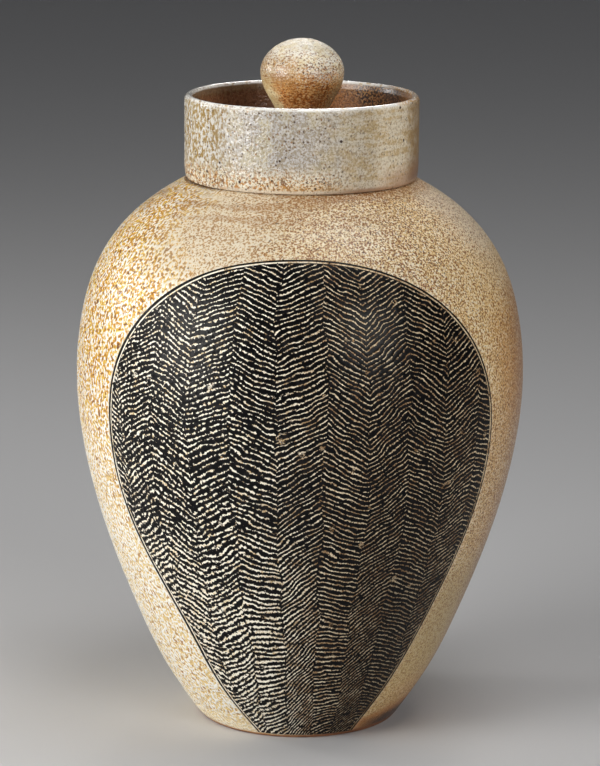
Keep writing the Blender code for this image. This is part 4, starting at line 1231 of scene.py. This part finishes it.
def build_collar():
    g = 0.16                                     # room for the relief
    mid, half = 61.75, 2.35
    lip = [(mid + (half - g) * math.cos(a), 350.0 - 2.6 - g + (2.6) * math.sin(a))
           for a in np.radians(np.linspace(0, 180, 13))]
    lip = [(r, min(z, 350.0 - g)) for r, z in lip]
    foot = []
    for a in np.radians(np.linspace(90, 0, 14)):
        foot.append((62.2 + 1.9 * math.cos(a) ** 0.8 - g * math.cos(a), 304.3 + 9.0 * (1.0 - math.sin(a))))
    outline = foot + lip + [(59.25, 346.0), (59.1, 322.9), (58.9, 322.1), (58.2, 321.8),
                            (52.4, 321.8), (51.75, 321.6), (51.5, 321.0), (51.5, 316.9),
                            (51.7, 315.2), (52.7, 314.3), (54.8, 308.2), (55.0, 307.3), (55.0, 304.3)]
    step = 0.60

    def step_of(p, q):
        if p[0] > 60.5 and q[0] > 60.5 and p[1] > 304.4:
            return step
        return 0.9 if min(p[1], q[1]) > 320.0 else 1.8
    return build_ring_piece("collar_glazed", outline, step, 64.0, step_of, collar_relief, 350.0)


def build_lid():
    seat, top = 322.1, 326.7
    pts = [(2.5, 331.0), (14.0, 331.0)]
    for k in range(1, 16):
        t = k / 15.0
        r = 14.0 + (56.0 - 14.0) * t
        pts.append((r, 331.0 - (331.0 - top) * t ** 1.7))
    pts += [(56.3, top), (57.3, top - 0.9), (57.5, top - 2.0), (57.5, seat + 1.2), (56.6, seat),
            (50.5, seat), (48.0, seat + 0.6)]
    under = 331.0 - 5.2
    for k in range(1, 10):
        t = k / 9.0
        pts.append((48.0 * (1 - t) + 8.5 * t, seat + 0.6 + (under - seat - 0.6) * math.sin(0.5 * math.pi * t)))
    pts.append((2.5, under))
    pts = pts[::-1]
    pts = round_corners(pts, 0.7, 3)
    pts = [(r, z - 0.0) for r, z in pts]

    def relief(g):
        n = peel_noise(g)
        top_side = g.ramp(g.z, 323.5, 325.5) * g.ramp(g.rho, 56.6, 55.6)
        rings = g.math('SINE', g.rho * 1.5) * 0.04 + (g.noise(9.0, 1.0, seed=74) - 0.5) * 0.05
        return (g.ramp(n, 0.38, 0.62) * 0.06 + rings - 0.12) * top_side
    return build_ring_piece("lid_disc_glazed", pts, 1.0, 57.5, lambda p, q: 0.9, relief, 331.0)


def knob_side(t):
    rise = 380.0 - 362.5
    if t <= 0.5:
        a = math.pi * t
        return 22.9 * math.sin(a), 362.5 + (rise * math.cos(a) ** 1.10 if t < 0.5 else 0.0)
    u = (t - 0.5) * 2.0
    z = 362.5 - (362.5 - 335.2) * u
    return 13.2 + (22.9 - 13.2) * 0.5 * (1.0 + math.cos(math.pi * u ** 1.12)), z


def build_knob():
    g = 0.13
    cols = even_columns(22.9, 0.50)
    ts = np.linspace(0.0, 1.0, 900)
    side = np.array([knob_side(float(t)) for t in ts])
    run = np.concatenate([[0.0], np.cumsum(np.hypot(*np.diff(side, axis=0).T))])
    q = np.linspace(0.0, run[-1], int(run[-1] / 0.5))
    side = np.stack([np.interp(q, run, side[:, 0]), np.interp(q, run, side[:, 1])], -1)
    tangent = np.gradient(side, axis=0)
    nor = np.stack([-tangent[:, 1], tangent[:, 0]], -1)
    nor /= np.linalg.norm(nor, axis=1)[:, None]
    side = side - nor * g
    side[0] = (0.0, 380.0 - g)
    outer = [tuple(p) for p in side] + [(13.22, 334.2), (13.35, 333.0), (13.5, 332.2), (13.72, 331.5), (13.6, 331.3)]
    base = [(5.0, 331.3), (5.0, 338.2)]
    hollow = []
    for t in (0.80, 0.66, 0.52, 0.40, 0.28):
        r, z = knob_side(t)
        hollow.append((r - 6.4, min(z, 380.0 - 6.4 - 2.0)))
    inside = refine(round_corners([base[-1]] + hollow + [(0.0, 373.1)], 2.0, 3), 1.6)
    rings = outer + refine([outer[-1], base[0]], 1.6)[1:] + refine(base, 1.6)[1:] + inside[1:]
    rings = rings[::-1]
    total = polyline_length(rings)
    lathe = Lathe()
    run = 0.0
    for i, (r, z) in enumerate(rings):
        if i:
            run += math.dist(rings[i - 1], rings[i])
        lathe.ring(float(max(r, 0.0)) if r > 0.02 else 0.0, float(z), cols, v=run / total)
    obj = lathe.build("knob_glazed")
    h = sample(obj, relief=knob_relief)["relief"]
    co = coords(obj)
    rho = np.hypot(co[:, 0], co[:, 1])
    out = (rho > np.interp(co[:, 2], [331.3, 335.0, 338.0, 380.0], [12.0, 11.0, 11.0, 11.0])) | (co[:, 2] > 376.0)
    co = co + normals(obj) * (h * out * smoothstep(co[:, 2], 331.6, 333.0))[:, None]
    keep_in(co, 379.98)
    set_coords(obj, co)
    return obj


# --------------------------------------------------------------------------
# Camera, floor and light
# --------------------------------------------------------------------------
def build_camera():
    cam = bpy.data.cameras.new("camera")
    cam.sensor_fit = 'AUTO'
    cam.sensor_width = 36.0
    cam.lens = 144.05
    cam.clip_start = 0.05
    cam.clip_end = 100.0
    obj = bpy.data.objects.new("camera", cam)
    bpy.context.scene.collection.objects.link(obj)
    turn = Matrix.Rotation(math.radians(77.185), 4, 'X') @ Matrix.Rotation(math.radians(CAMERA_ROLL), 4, 'Z')
    obj.matrix_world = Matrix.Translation((CAMERA_SIDE, -1.6628, 0.5664)) @ turn
    bpy.context.scene.camera = obj


CAMERA_ROLL = 0.42
CAMERA_SIDE = 0.0


def build_stage():
    """A pale floor that sweeps up into a wall all round, far behind the object."""
    profile = [(0.0, 0.0), (2.0, 0.0), (6.0, 0.0)]
    for k in range(1, 19):
        a = 0.5 * math.pi * k / 18.0
        profile.append((6.0 + 4.5 * math.sin(a), 4.5 * (1.0 - math.cos(a))))
    profile.append((10.5, 9.0))
    spokes = 96
    co = [(0.0, 0.0, 0.0)]
    for r, z in profile[1:]:
        for j in range(spokes):
            a = 2.0 * math.pi * j / spokes
            co.append((r * math.cos(a), r * math.sin(a), z))
    faces = [(0, 1 + j, 1 + (j + 1) % spokes) for j in range(spokes)]
    for i in range(len(profile) - 2):
        for j in range(spokes):
            a, b = 1 + i * spokes + j, 1 + i * spokes + (j + 1) % spokes
            faces.append((a, a + spokes, b + spokes, b))
    mesh = bpy.data.meshes.new("floor")
    mesh.from_pydata(co, [], faces)
    mesh.shade_smooth()
    floor = bpy.data.objects.new("floor", mesh)
    bpy.context.scene.collection.objects.link(floor)
    mat = bpy.data.materials.new("floor_paper")
    mat.use_nodes = True
    shader = mat.node_tree.nodes["Principled BSDF"]
    shader.inputs["Base Color"].default_value = (0.60, 0.60, 0.61, 1.0)
    shader.inputs["Roughness"].default_value = 0.75
    shader.inputs["Specular IOR Level"].default_value = 0.25
    mesh.materials.append(mat)


def area_light(name, place, target, size, power, color=(1.0, 1.0, 1.0), size_y=None, spread=180.0):
    light = bpy.data.lights.new(name, 'AREA')
    light.shape = 'RECTANGLE'
    light.size = size
    light.size_y = size_y or size
    light.energy = power
    light.spread = math.radians(spread)
    light.color = color
    obj = bpy.data.objects.new(name, light)
    bpy.context.scene.collection.objects.link(obj)
    aim = (Vector(target) - Vector(place)).to_track_quat('-Z', 'Y')
    obj.matrix_world = Matrix.Translation(place) @ aim.to_matrix().to_4x4()


def build_lights():
    area_light("key", (-1.45, -0.85, 0.66), (0.0, 0.0, 0.2), 0.9, 25.9, (1.0, 0.985, 0.96), size_y=1.1)
    area_light("glint", (-1.25, 0.40, 0.55), (0.0, 0.0, 0.2), 0.22, 3.0, (1.0, 0.985, 0.96))
    area_light("top", (0.35, -0.20, 1.75), (0.0, 0.0, 0.3), 0.8, 8.2, (1.0, 0.99, 0.97))
    area_light("back", (0.12, 1.60, 1.45), (0.0, 0.0, 0.46), 1.2, 0.60, (1.0, 0.99, 0.97), size_y=0.4, spread=20.0)
    area_light("fill", (1.5, -2.1, 1.15), (0.0, 0.0, 0.22), 1.2, 24.0, (1.0, 0.99, 0.97))
    world = bpy.data.worlds.new("studio")
    bpy.context.scene.world = world
    world.use_nodes = True
    back = world.node_tree.nodes["Background"]
    back.inputs["Color"].default_value = (0.75, 0.76, 0.78, 1.0)
    back.inputs["Strength"].default_value = 0.14
    bpy.context.scene.view_settings.view_transform = 'Standard'
    bpy.context.scene.view_settings.look = 'None'


# --------------------------------------------------------------------------
# Putting it together
# --------------------------------------------------------------------------
build_camera()
build_stage()
build_lights()

body_mat = material("salt_glaze_body", (200, 178, 138), look_body)
foot_mat = material("bare_toasted_clay", (150, 100, 62), look_foot)
inside_mat = material("liner_glaze", (130, 88, 60), look_inside)
slip_mat = material("black_slip_cut", (28, 28, 30), look_slip)
collar_mat = material("salt_glaze_collar", (208, 198, 176), look_collar)
lid_mat = material("flashed_lid", (100, 66, 46), look_lid)
knob_mat = material("salt_glaze_knob", (206, 170, 122), look_knob)

body = build_body()
for m in (body_mat, foot_mat, inside_mat):
    body.data.materials.append(m)
panel = build_panel()
panel.data.materials.append(slip_mat)
collar = build_collar()
collar.data.materials.append(collar_mat)
lid = build_lid()
lid.data.materials.append(lid_mat)
knob = build_knob()
knob.data.materials.append(knob_mat)

for obj, rides_on, slot in ((body, "jar", "body_glaze"), (panel, "jar", "black_slip"),
                            (collar, "jar", "collar_glaze"), (lid, "lid", "lid_glaze"),
                            (knob, "lid", "knob_glaze")):
    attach(obj, rides_on)
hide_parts("jar_body")
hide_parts("neck_collar")
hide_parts("lid_disc")
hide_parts("lid_knob")
